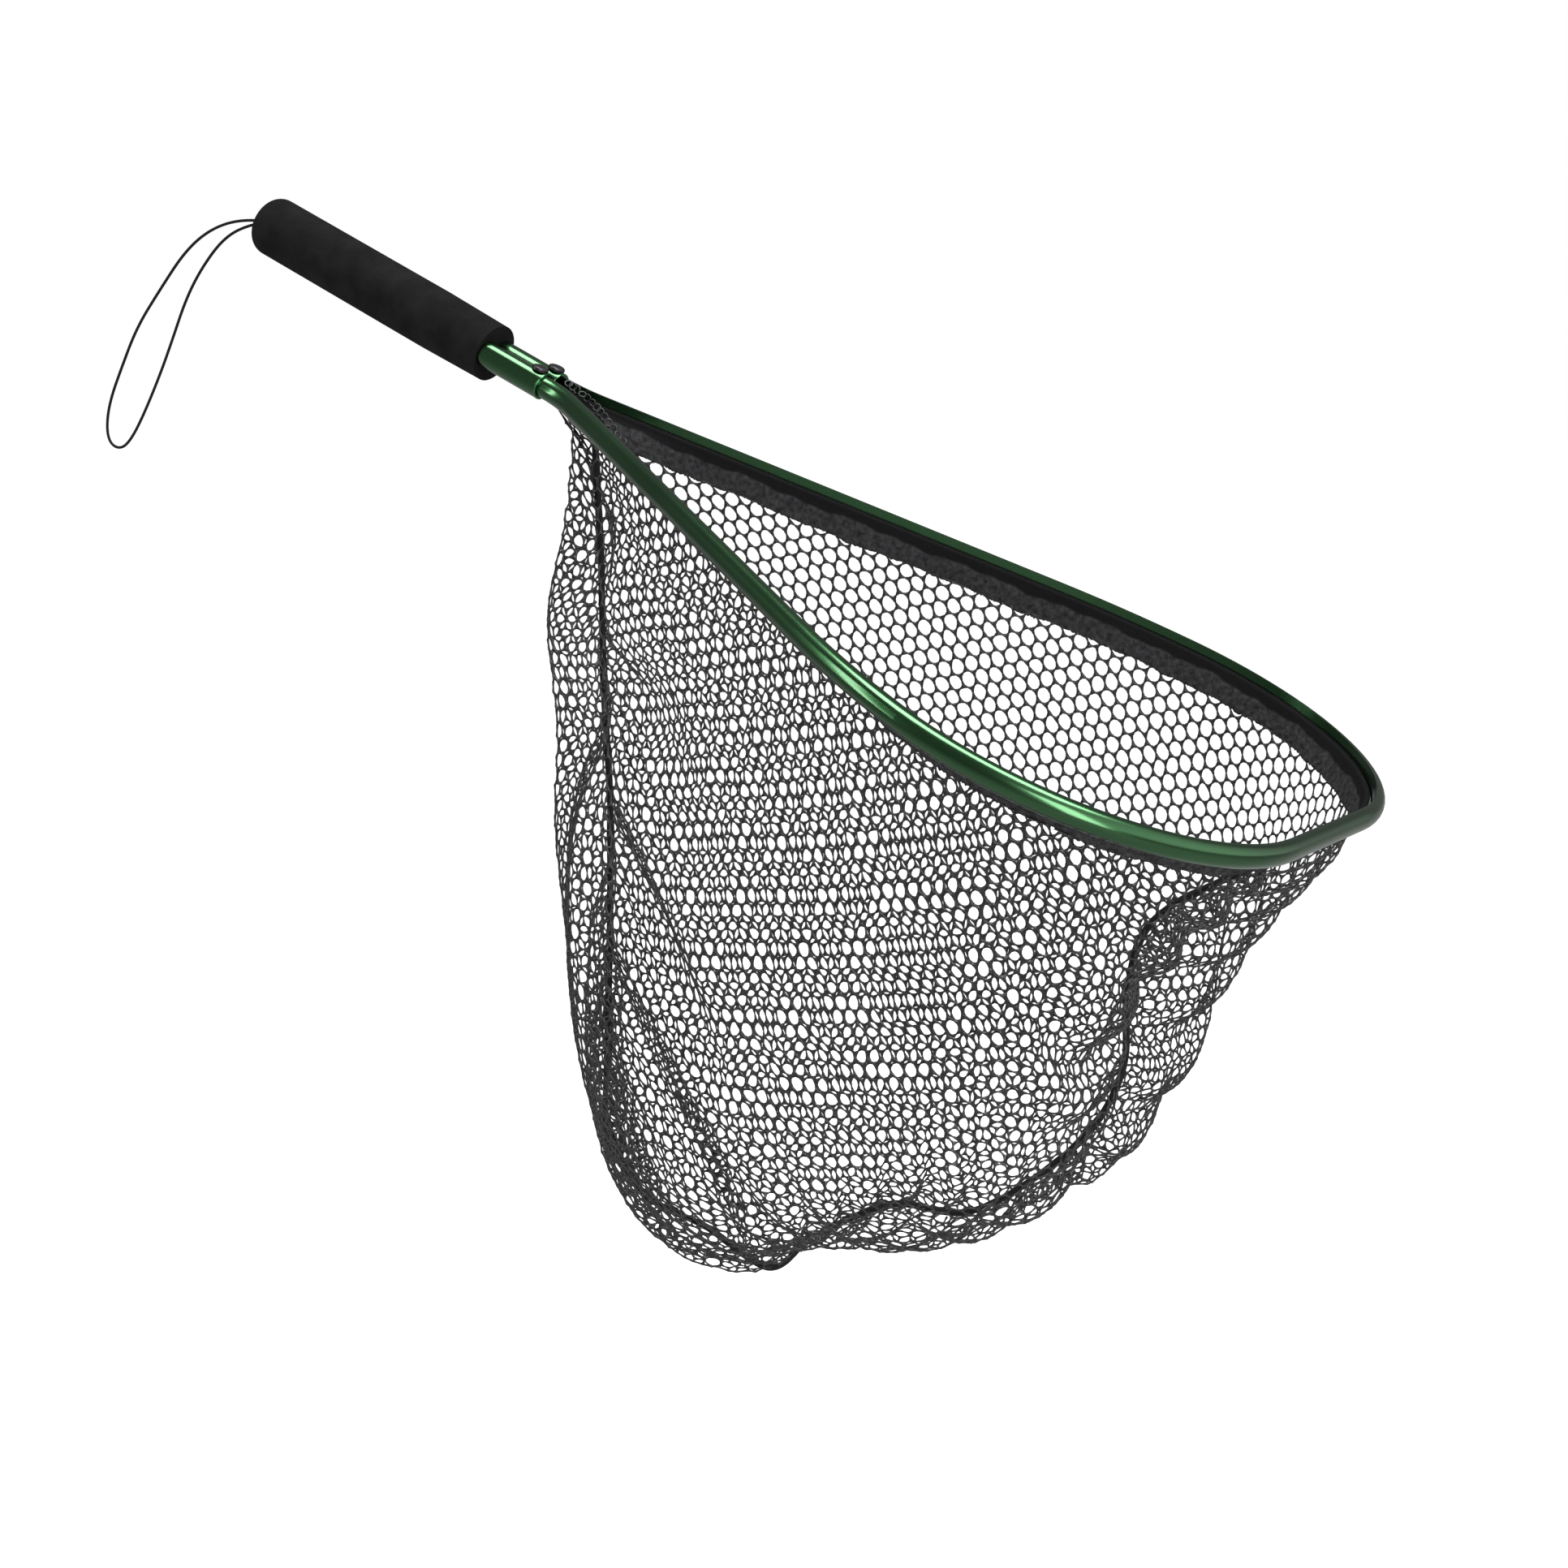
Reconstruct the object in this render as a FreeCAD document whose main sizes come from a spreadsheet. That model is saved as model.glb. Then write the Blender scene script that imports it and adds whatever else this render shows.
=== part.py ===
"""Hand landing net: a green hoop riveted into a twin-barrel handle, with a hanging mesh bag.

Frame: the origin is the middle of the grip, on the handle's axis.  +Z is up, against the pull that
the bag hangs by, and +X points from the hand towards the front of the hoop.  The handle and the
hoop lie in one plane, which leans down towards the front by the angle tilt.  Rigid pieces are drawn
in that plane, x along the handle and z square to the hoop, and a Placement leans them.
"""
import FreeCAD, Part
import math
import os
import Sketcher

Vector = FreeCAD.Vector
doc = FreeCAD.newDocument("LandingNet")

# ------------------------------------------------------- driving dimensions, mm and degrees
SIZES = {
    "tilt": 25.0,                  # lean of the handle and hoop when the net hangs from a hand
    # hoop: a D-shaped channel bent to a teardrop
    "hoop_reach": 431.6,           # barrel mouth to the middle of the front, on the centre line
    "front_half_flat": 43.0,
    "leg_angle": 27.6,
    "neck_straight": 1.0,
    "neck_bend_radius": 45.0,
    "shoulder_radius": 300.0,
    "shoulder_turn": 13.5,
    "channel_od": 10.5,
    "channel_wall": 1.2,
    "channel_flat": 0.65,          # the D's flat, this far inwards of the centre line
    "slot_width": 2.0,
    "insert_length": 36.0,         # hoop end inside its barrel
    # handle tube, crimped to two barrels at the front
    "handle_od": 22.0,
    "handle_wall": 1.2,
    "barrel_wall": 1.15,
    "barrel_clearance": 0.1,
    "barrel_gap": 0.2,
    "barrel_length": 40.0,
    "crimp_length": 24.0,
    "web_half_height": 2.2,
    # foam grip
    "grip_length": 155.5,
    "grip_od": 30.0,
    "grip_front_od": 28.6,
    "grip_taper_length": 38.0,
    "grip_round": 6.5,
    "grip_end_wall": 9.0,
    "neck_reach": 37.5,            # grip's front end to the barrel mouths
    "foam_clearance": 0.05,
    "cord_hole_od": 4.2,
    # butt plug
    "plug_length": 16.0,
    "plug_clearance": 0.1,
    "plug_cup_depth": 9.0,
    # rivets
    "rivet_setback": 5.2,
    "rivet_head_od": 8.2,
    "rivet_head_height": 1.8,
    "rivet_head_round": 1.1,
    "rivet_shank_od": 3.2,
    "rivet_shank_length": 4.2,
    "rivet_hole_clearance": 0.05,
    # rim tape, and the rope that holds it in the channel
    "rope_clearance": 0.15,        # rope to the channel's back wall, and to its slotted wall
    "rope_gap": 0.1,
    "tape_thick": 1.2,
    "tape_standoff": 3.25,         # middle of the hanging tape, inwards of the channel's centre
    "tape_drop": 14.0,
    "tape_start": 4.0,             # barrel mouth to the tape's end
    # netting and seam binding
    "net_thick": 1.2,
    "net_gap": 0.7,
    "seam_width": 3.6,
    "seam_thick": 1.2,
    "seam_gap": 0.3,
    # wrist cord
    "cord_od": 1.5,
    "cord_spread": 2.0,            # between the two strands where they leave the grip
    "knot_od": 6.0,
}

sheet = doc.addObject("Spreadsheet::Sheet", "Sizes")
for row, (alias, number) in enumerate(SIZES.items(), start=1):
    sheet.set(f"A{row}", alias)
    sheet.set(f"B{row}", str(number))
    sheet.setAlias(f"B{row}", alias)
doc.recompute()


class Dim:
    """A size as a number, together with the sheet expression that gives it."""

    def __init__(self, value, text):
        self.value = value
        self.text = text

    def __add__(self, other):
        other = as_dim(other)
        return Dim(self.value + other.value, f"({self.text} + {other.text})")

    def __sub__(self, other):
        other = as_dim(other)
        return Dim(self.value - other.value, f"({self.text} - {other.text})")

    def __mul__(self, number):
        return Dim(self.value * number, f"({self.text} * {number})")

    def __truediv__(self, number):
        return Dim(self.value / number, f"({self.text} / {number})")

    __rmul__ = __mul__


def as_dim(thing):
    """A plain number as a Dim."""
    return thing if isinstance(thing, Dim) else Dim(float(thing), str(thing))


def dim(alias):
    """One driving dimension, read back from the sheet."""
    return Dim(float(sheet.get(alias)), f"Sizes.{alias}")


def size(alias):
    """One driving dimension as a number."""
    return dim(alias).value


# ------------------------------------------------------- sizes that several pieces share
MOUTH_X = dim("grip_length") / 2 + dim("neck_reach")
BUTT_X = dim("grip_length") * -0.5
BARREL_BORE = dim("channel_od") + dim("barrel_clearance") * 2
BARREL_OD = BARREL_BORE + dim("barrel_wall") * 2
BARREL_Y = (BARREL_OD + dim("barrel_gap")) / 2
BARREL_BACK = MOUTH_X - dim("barrel_length")
CRIMP_BACK = BARREL_BACK - dim("crimp_length")
TUBE_BACK = BUTT_X + dim("grip_end_wall")
TUBE_BORE = dim("handle_od") - dim("handle_wall") * 2
RIVET_X = MOUTH_X - dim("rivet_setback")
RIVET_HOLE = dim("rivet_shank_od") + dim("rivet_hole_clearance") * 2
LEAN = FreeCAD.Rotation(Vector(0, 1, 0), size("tilt"))
LEANED = FreeCAD.Placement(Vector(0, 0, 0), LEAN)
NODES = []


def keep(thing, label):
    """Name a finished sub-part and put it on the list of nodes."""
    thing.Label = label
    NODES.append(thing)
    return thing


def shaped(label, shape, placement):
    """A sub-part whose shape comes from Part's own functions."""
    thing = doc.addObject("Part::Feature", label)
    thing.Shape = shape
    thing.Placement = placement
    return keep(thing, label)


# ------------------------------------------------------- building blocks bound to the sheet
def solid(kind, name, **bound):
    """A Part primitive whose properties are bound to Dims."""
    thing = doc.addObject(kind, name)
    for prop, value in bound.items():
        thing.setExpression(prop.replace("_", "."), as_dim(value).text)
    return thing


def rod(name, diameter, start_x, length, y=0.0):
    """A cylinder along the handle."""
    thing = solid("Part::Cylinder", name, Radius=diameter / 2, Height=length)
    thing.Placement = FreeCAD.Placement(Vector(0, 0, 0), FreeCAD.Rotation(Vector(0, 1, 0), 90))
    thing.setExpression("Placement.Base.x", as_dim(start_x).text)
    thing.setExpression("Placement.Base.y", as_dim(y).text)
    return thing


def ring(name, diameter, x, y=0.0):
    """A circle square to the handle, for a loft."""
    thing = solid("Part::Circle", name, Radius=diameter / 2)
    thing.Placement = FreeCAD.Placement(Vector(0, 0, 0), FreeCAD.Rotation(Vector(0, 1, 0), 90))
    thing.setExpression("Placement.Base.x", as_dim(x).text)
    thing.setExpression("Placement.Base.y", as_dim(y).text)
    return thing


def taper(name, back_od, back_x, front_od, front_x, front_y):
    """A leaning cone from a circle on the handle's axis to a circle on a barrel's axis."""
    thing = doc.addObject("Part::Loft", name)
    thing.Sections = [ring(name + "Back", back_od, back_x),
                      ring(name + "Front", front_od, front_x, front_y)]
    thing.Solid = True
    thing.Ruled = True
    return thing


def fused(name, pieces):
    """The union of several pieces."""
    thing = doc.addObject("Part::MultiFuse", name)
    thing.Shapes = pieces
    return thing


def cut(name, base, tool):
    """A piece with another taken out of it."""
    thing = doc.addObject("Part::Cut", name)
    thing.Base = base
    thing.Tool = tool
    return thing


def hold(sketch, corner, kind, axis_geo, place):
    """Hold one coordinate of a sketch corner on an axis, or at a bound distance from it."""
    if abs(place.value) < 1e-9:
        sketch.addConstraint(Sketcher.Constraint("PointOnObject", corner, 1, axis_geo))
        return
    number = sketch.addConstraint(Sketcher.Constraint(kind, -1, 1, corner, 1, place.value))
    sketch.setExpression(f"Constraints[{number}]", place.text)


def turned(label, corners, rounds=()):
    """A PartDesign body: a closed outline of (along, radius) Dims turned about its long axis.

    rounds holds (along, radius, fillet radius) for each turned edge that is rounded.
    """
    body = doc.addObject("PartDesign::Body", label)
    plane = next(item for item in body.Origin.OriginFeatures if item.Role == "XY_Plane")
    sketch = body.newObject("Sketcher::SketchObject", label + "_outline")
    sketch.AttachmentSupport = [(plane, "")]
    sketch.MapMode = "FlatFace"
    corners = [(as_dim(along), as_dim(out)) for along, out in corners]
    points = [Vector(along.value, out.value, 0) for along, out in corners]
    count = len(points)
    for number in range(count):
        line = Part.LineSegment(points[number], points[(number + 1) % count])
        sketch.addGeometry(line, False)
    for number in range(count):
        following = (number + 1) % count
        sketch.addConstraint(Sketcher.Constraint("Coincident", number, 2, following, 1))
    for number, (along, out) in enumerate(corners):
        hold(sketch, number, "DistanceX", -2, along)
        hold(sketch, number, "DistanceY", -1, out)
    turn = body.newObject("PartDesign::Revolution", label + "_turn")
    turn.Profile = sketch
    turn.ReferenceAxis = (sketch, ["H_Axis"])
    turn.Angle = 360.0
    doc.recompute()
    for along, out, radius in rounds:
        base = body.Tip
        names = [f"Edge{i}" for i, edge in enumerate(base.Shape.Edges, start=1)
                 if turned_edge(edge, as_dim(along).value, as_dim(out).value)]
        fillet = body.newObject("PartDesign::Fillet", f"{label}_round")
        fillet.Base = (base, names)
        fillet.setExpression("Radius", radius.text)
        body.Tip = fillet
        doc.recompute()
    return body


def turned_edge(edge, along, out):
    """True for the circle that a corner of an outline sweeps."""
    curve = edge.Curve
    if not isinstance(curve, Part.Circle):
        return False
    return abs(curve.Center.x - along) < 1e-4 and abs(curve.Radius - out) < 1e-4


def lean_to(thing, x, y=0.0, z=0.0, upright=False):
    """Place a piece in the leaning plane; an upright one is drawn along x and stands along z."""
    turn = LEAN.multiply(FreeCAD.Rotation(Vector(0, 1, 0), -90)) if upright else LEAN
    thing.Placement = FreeCAD.Placement(Vector(0, 0, 0), turn)
    x, y, z = as_dim(x), as_dim(y), as_dim(z)
    cosine = "cos(Sizes.tilt * 1 deg)"
    sine = "sin(Sizes.tilt * 1 deg)"
    thing.setExpression("Placement.Base.x", f"{x.text} * {cosine} + {z.text} * {sine}")
    thing.setExpression("Placement.Base.y", y.text)
    thing.setExpression("Placement.Base.z", f"{z.text} * {cosine} - {x.text} * {sine}")


# ------------------------------------------------------- hoop centre line
class Bend:
    """One straight run (radius None) or arc of the hoop's centre line, in the leaning plane."""

    def __init__(self, start, heading, length=0.0, radius=None, turn=0.0):
        self.start = start
        self.heading = heading
        self.length = length
        self.radius = radius
        self.turn = turn
        self.left = Vector(-math.sin(heading), math.cos(heading), 0)
        self.ahead = Vector(math.cos(heading), math.sin(heading), 0)

    def centre(self):
        return self.start + self.left * math.copysign(self.radius, self.turn)

    def end(self):
        if self.radius is None:
            return self.start + self.ahead * self.length
        spin = FreeCAD.Rotation(Vector(0, 0, 1), math.degrees(self.turn))
        return self.centre() + spin.multVec(self.start - self.centre())

    def sweep(self, section):
        """Carry a closed face, drawn at the start of this run, along it."""
        if self.radius is None:
            return section.extrude(self.ahead * self.length)
        up = Vector(0, 0, math.copysign(1, self.turn))
        return section.revolve(self.centre(), up, math.degrees(abs(self.turn)))

    def half_width_at(self, x):
        """Distance of the centre line from the handle's axis at this x, or None off the run."""
        if self.radius is None:
            if abs(self.ahead.x) < 1e-9:
                return None
            along = (x - self.start.x) / self.ahead.x
            inside = -1e-6 <= along <= self.length + 1e-6
            return abs(self.start.y + self.ahead.y * along) if inside else None
        centre = self.centre()
        reach = self.radius ** 2 - (x - centre.x) ** 2
        if reach < 0:
            return None
        y = centre.y - math.copysign(math.sqrt(reach), self.turn)
        low, high = sorted((self.start.x, self.end().x))
        inside = low - 1e-6 <= x <= high + 1e-6
        return abs(y) if inside else None


def hoop_line():
    """The centre line, from the near barrel round the front to the far one.

    The leg's length and the corner's radius follow from the reach, and from the two corners
    meeting at the flat of the front.
    """
    leg = math.radians(size("leg_angle"))
    after = math.radians(size("leg_angle") - size("shoulder_turn"))
    neck = size("neck_bend_radius")
    shoulder = size("shoulder_radius")
    start = Vector(MOUTH_X.value + size("neck_straight"), -BARREL_Y.value, 0)
    side_sum = (BARREL_Y.value + neck * (1 - math.cos(leg))
                + shoulder * (math.cos(after) - math.cos(leg)) - size("front_half_flat"))
    ahead_sum = (size("hoop_reach") - size("neck_straight") - neck * math.sin(leg)
                 - shoulder * (math.sin(leg) - math.sin(after)))
    # corner * cos(after) = side_sum + leg_length * sin(leg)
    # leg_length * cos(leg) + corner * (1 + sin(after)) = ahead_sum
    lean_in = (1 + math.sin(after)) / math.cos(after)
    leg_length = (ahead_sum - lean_in * side_sum) / (math.cos(leg) + lean_in * math.sin(leg))
    corner = (side_sum + leg_length * math.sin(leg)) / math.cos(after)
    steps = [(None, leg_length, 0.0), (shoulder, 0.0, leg - after),
             (corner, 0.0, math.pi / 2 + after)]
    runs = [Bend(Vector(MOUTH_X.value - size("insert_length"), -BARREL_Y.value, 0), 0.0,
                 length=size("insert_length") + size("neck_straight")),
            Bend(start, 0.0, radius=neck, turn=-leg)]
    heading = -leg
    for radius, length, turn in steps:
        runs.append(Bend(runs[-1].end(), heading, length, radius, turn))
        heading += turn
    runs.append(Bend(runs[-1].end(), heading, 2 * size("front_half_flat")))
    for radius, length, turn in reversed(steps):
        runs.append(Bend(runs[-1].end(), heading, length, radius, turn))
        heading += turn
    runs.append(Bend(runs[-1].end(), heading, radius=neck, turn=-leg))
    heading -= leg
    runs.append(Bend(runs[-1].end(), heading,
                     length=size("insert_length") + size("neck_straight")))
    return runs


def trimmed(runs, past_mouth):
    """The centre line without its ends, starting this far past each barrel mouth."""
    skip = past_mouth - size("neck_straight")
    turn = -math.asin(skip / size("neck_bend_radius"))
    first = runs[1]
    last = runs[-2]
    spin = FreeCAD.Rotation(Vector(0, 0, 1), math.degrees(turn))
    start = first.centre() + spin.multVec(first.start - first.centre())
    opening = Bend(start, first.heading + turn, radius=first.radius, turn=first.turn - turn)
    closing = Bend(last.start, last.heading, radius=last.radius, turn=last.turn - turn)
    return [opening] + runs[2:-2] + [closing]


def swept(runs, outline):
    """Sweep a section along the hoop; outline(place) draws its face from (inwards, up) points."""
    pieces = []
    for run in runs:
        def place(inwards, up, run=run):
            return run.start + run.left * inwards + Vector(0, 0, up)
        pieces.append(run.sweep(outline(place)))
    return pieces[0].fuse(pieces[1:]).removeSplitter()


def face_of(edges):
    """A face inside a closed run of edges."""
    return Part.Face(Part.Wire(Part.__sortEdges__(edges)))


# ------------------------------------------------------- hoop, rope and tape
def channel_outline(place):
    """D-shaped channel: round outside, flat inside, with a slot through the flat."""
    outer = size("channel_od") / 2
    inner = outer - size("channel_wall")
    flat = size("channel_flat")
    cavity = flat - size("channel_wall")
    lip = size("slot_width") / 2
    top = math.sqrt(outer ** 2 - flat ** 2)
    roof = math.sqrt(inner ** 2 - cavity ** 2)
    lines = [((flat, top), (flat, lip)), ((flat, lip), (cavity, lip)),
             ((cavity, lip), (cavity, roof)), ((cavity, -roof), (cavity, -lip)),
             ((cavity, -lip), (flat, -lip)), ((flat, -lip), (flat, -top))]
    edges = [Part.LineSegment(place(*one), place(*two)).toShape() for one, two in lines]
    for half, radius, x in ((roof, inner, cavity), (top, outer, flat)):
        arc = Part.Arc(place(x, half), place(-radius, 0), place(x, -half))
        edges.append(arc.toShape())
    return face_of(edges)


def rope_place():
    """Middle and radius of the rope that fills the channel's cavity, behind the slot."""
    front = size("channel_flat") - size("channel_wall")
    back = size("channel_wall") - size("channel_od") / 2
    return (front + back) / 2, (front - back) / 2 - size("rope_clearance")


def rope_outline(place):
    """Round rope lying in the channel, behind the slot."""
    middle, half = rope_place()
    one = Part.Arc(place(middle, half), place(middle - half, 0), place(middle, -half))
    two = Part.Arc(place(middle, -half), place(middle + half, 0), place(middle, half))
    return face_of([one.toShape(), two.toShape()])


def tape_outline(place):
    """Tape that comes out through the slot and hangs square to the hoop."""
    half = size("tape_thick") / 2
    rope_edge = sum(rope_place()) + size("rope_gap")
    near = size("tape_standoff") - half
    away = size("tape_standoff") + half
    low = -size("tape_drop")
    corners = [(rope_edge, half), (away, half), (away, low), (near, low), (near, -half),
               (rope_edge, -half)]
    points = [place(*corner) for corner in corners]
    return Part.Face(Part.makePolygon(points + points[:1]))


def rivet_hole(side):
    """Blind hole square to the hoop, through the top wall of one barrel and the hoop end."""
    base = Vector(RIVET_X.value, side * BARREL_Y.value, 0)
    return Part.makeCylinder(RIVET_HOLE.value / 2, BARREL_OD.value, base, Vector(0, 0, 1))


def make_hoop():
    """Hoop, its tape rope and its tape."""
    runs = hoop_line()
    hoop = swept(runs, channel_outline)
    for side in (-1, 1):
        hoop = hoop.cut(rivet_hole(side))
    shaped("hoop_channel", hoop, LEANED)
    inside = trimmed(runs, size("tape_start"))
    shaped("tape_rope", swept(inside, rope_outline), LEANED)
    shaped("rim_tape", swept(inside, tape_outline), LEANED)
    return runs


# ------------------------------------------------------- handle
def twin(name, back_od, barrel_od, web):
    """Round tube, crimp and two barrels as one solid of the given diameters."""
    pieces = [rod(f"{name}_round", back_od, TUBE_BACK, CRIMP_BACK - TUBE_BACK)]
    for side, word in ((-1, "near"), (1, "far")):
        across = BARREL_Y * side
        pieces.append(taper(f"{name}_{word}_crimp", back_od, CRIMP_BACK, barrel_od, BARREL_BACK,
                            across))
        pieces.append(rod(f"{name}_{word}_barrel", barrel_od, BARREL_BACK,
                          dim("barrel_length"), across))
    if web:
        block = solid("Part::Box", f"{name}_web", Length=dim("barrel_length"), Width=BARREL_Y,
                      Height=dim("web_half_height") * 2)
        block.setExpression("Placement.Base.x", BARREL_BACK.text)
        block.setExpression("Placement.Base.y", (BARREL_Y * -0.5).text)
        block.setExpression("Placement.Base.z", (dim("web_half_height") * -1).text)
        pieces.append(block)
    return fused(name, pieces)


def make_handle():
    """Handle tube: round at the back, crimped to two barrels that take the hoop's ends."""
    outer = twin("handle_outside", dim("handle_od"), BARREL_OD, web=True)
    inner = twin("handle_inside", TUBE_BORE, BARREL_BORE, web=False)
    drill = []
    for side, word in ((-1, "near"), (1, "far")):
        hole = solid("Part::Cylinder", f"rivet_hole_{word}", Radius=RIVET_HOLE / 2,
                     Height=BARREL_OD)
        hole.setExpression("Placement.Base.x", RIVET_X.text)
        hole.setExpression("Placement.Base.y", (BARREL_Y * side).text)
        drill.append(hole)
    tube = cut("handle_tube", outer, fused("handle_waste", [inner] + drill))
    doc.recompute()
    lean_to(tube, 0.0)
    return keep(tube, "handle_tube")


def make_grip():
    """Foam sleeve with a closed, rounded butt; its bore follows the handle tube."""
    length = dim("grip_length")
    outer = dim("grip_od") / 2
    hole = dim("cord_hole_od") / 2
    corners = [(0.0, hole), (0.0, outer), (length - dim("grip_taper_length"), outer),
               (length, dim("grip_front_od") / 2), (length, hole)]
    foam = turned("grip_foam", corners, rounds=[(0.0, outer, dim("grip_round"))])
    foam.setExpression("Placement.Base.x", BUTT_X.text)
    fit = dim("foam_clearance") * 2
    core = twin("grip_core", dim("handle_od") + fit, BARREL_OD + fit, web=True)
    grip = cut("foam_grip", foam, core)
    doc.recompute()
    lean_to(grip, 0.0)
    return keep(grip, "foam_grip")


def make_plug():
    """Plug in the tube's back end: a cup for the cord's knot, with a hole for its strands."""
    bore = TUBE_BORE / 2 - dim("plug_clearance")
    hole = dim("cord_hole_od") / 2
    cup = dim("knot_od") / 2 + 1.0
    floor = dim("plug_length") - dim("plug_cup_depth")
    corners = [(0.0, hole), (0.0, bore), (dim("plug_length"), bore), (dim("plug_length"), cup),
               (floor, cup), (floor, hole)]
    plug = turned("butt_plug", corners)
    lean_to(plug, TUBE_BACK)
    return keep(plug, "butt_plug")


def make_rivets():
    """One blind rivet through each barrel and hoop end: domed head, shank and upset tail."""
    head = dim("rivet_head_od") / 2
    shank = dim("rivet_shank_od") / 2
    tall = dim("rivet_head_height")
    deep = dim("rivet_shank_length")
    corners = [(0.0, 0.0), (deep + tall, 0.0), (deep + tall, head), (deep, head), (deep, shank),
               (0.0, shank)]
    for side, word in ((-1, "near"), (1, "far")):
        rivet = turned(f"rivet_{word}", corners,
                       rounds=[(deep + tall, head, dim("rivet_head_round"))])
        lean_to(rivet, RIVET_X, BARREL_Y * side, BARREL_OD / 2 - deep, upright=True)
        keep(rivet, f"rivet_{word}")


# ------------------------------------------------------- bag
# Route of the seam binding in the plane y = 0, as (ahead of the barrel mouths, above them): down
# the back from the neck, along the bottom and up the front.  Its two end points are tied to the
# hoop.
SEAM_MIDDLE = [(27.5, -81.3), (28.5, -141.3), (31.5, -201.3), (30.5, -261.3), (28.5, -321.3),
               (28.5, -363.3), (49.5, -392.3), (85.5, -403.3), (121.5, -417.3), (145.5, -398.3),
               (187.5, -375.3), (230.5, -371.3), (280.5, -333.3), (302.5, -296.3),
               (304.5, -256.3), (319.5, -223.3)]
SEAM_BACK = 34.0     # barrel mouths to the seam's top end, along the hoop
SEAM_FRONT = 6.0     # seam's front end to the middle of the front tape
NET_START = 20.0     # tape's end to the first column of net
# How far down the seam's length each column of a net panel comes to it.
SEAM_SHARES = [0.04, 0.13, 0.23, 0.33, 0.42, 0.49, 0.55, 0.61, 0.67, 0.74, 0.81, 0.89, 0.97]
COLUMNS = len(SEAM_SHARES) - 1
ROWS = 6
BELLY_ACROSS = 0.25  # middle of a column: this share of the way back to its seam point,
BELLY_WIDTH = 0.98   # this share of the rim's width,
BELLY_DROP = 0.85    # and this share of the way down


def leaned_point(x, y, z):
    """A point of the leaning plane in the part's own frame."""
    return LEAN.multVec(Vector(x, y, z))


def seam_points():
    """The seam's whole route, from the neck to the front of the rim tape."""
    low = -size("tape_drop") - size("net_gap")
    back = leaned_point(MOUTH_X.value + SEAM_BACK, 0, low)
    front_x = MOUTH_X.value + size("hoop_reach") - size("tape_standoff") - SEAM_FRONT
    front = leaned_point(front_x, 0, low)
    mouth = leaned_point(MOUTH_X.value, 0, 0)
    middle = [mouth + Vector(ahead, 0, up) for ahead, up in SEAM_MIDDLE]
    return [back] + middle + [front]


def normals(points):
    """Unit normals in the plane y = 0, one for each point of an open line."""
    found = []
    for number in range(len(points)):
        before = points[max(number - 1, 0)]
        after = points[min(number + 1, len(points) - 1)]
        along = (after - before).normalize()
        found.append(Vector(-along.z, 0, along.x))
    return found


def make_seam(points):
    """Seam binding: a flat tape on edge, following the route."""
    half = size("seam_thick") / 2
    sides = []
    for offset in (half, -half):
        sides.append([p + n * offset for p, n in zip(points, normals(points))])
    ring_points = sides[0] + sides[1][::-1]
    drop = Vector(0, size("seam_width") / 2, 0)
    outline = Part.makePolygon([p - drop for p in ring_points + ring_points[:1]])
    shaped("seam_binding", Part.Face(outline).extrude(drop * 2), FreeCAD.Placement())


def rim_points(runs, count):
    """Points under the far rim tape's lower edge, from the neck to the middle of the front."""
    inwards = size("tape_standoff")
    low = -size("tape_drop") - size("net_gap")
    first = size("tape_start") + NET_START
    reach = size("hoop_reach") - inwards
    points = []
    for number in range(count + 1):
        share = number / count
        x = first + (reach - first) * math.sin(share * math.pi / 2)
        points.append((x, share))
    line = []
    half_runs = runs[1:6]
    for x, share in points:
        found = [run.half_width_at(MOUTH_X.value + x) for run in half_runs]
        wide = max([value for value in found if value is not None], default=0.0)
        y = max(wide - inwards, 0.0) * (1.0 if share < 1 else 0.0)
        line.append(leaned_point(MOUTH_X.value + x, y, low))
    return line


def along_polyline(points, share):
    """The point at this share of a polyline's length."""
    runs = [(b - a).Length for a, b in zip(points, points[1:])]
    left = share * sum(runs)
    for (a, b), length in zip(zip(points, points[1:]), runs):
        if left <= length:
            return a + (b - a) * (left / length)
        left -= length
    return points[-1]


def bag_grid(runs, seam, middle_gap, columns, rows):
    """Grid of points on the bag's far side: columns round the rim, rows down to the seam."""
    rim = rim_points(runs, columns)
    grid = []
    for number, top in enumerate(rim):
        bottom = along_polyline(seam, SEAM_SHARES[number])
        bottom = Vector(bottom.x, middle_gap, bottom.z)
        top = Vector(top.x, max(top.y, middle_gap), top.z)
        belly = Vector(top.x + (bottom.x - top.x) * BELLY_ACROSS, top.y * BELLY_WIDTH,
                       top.z + (bottom.z - top.z) * BELLY_DROP)
        column = []
        for row in range(rows + 1):
            v = row / rows
            column.append(top * (1 - v) ** 2 + belly * 2 * v * (1 - v) + bottom * v ** 2)
        grid.append(column)
    return grid


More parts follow.
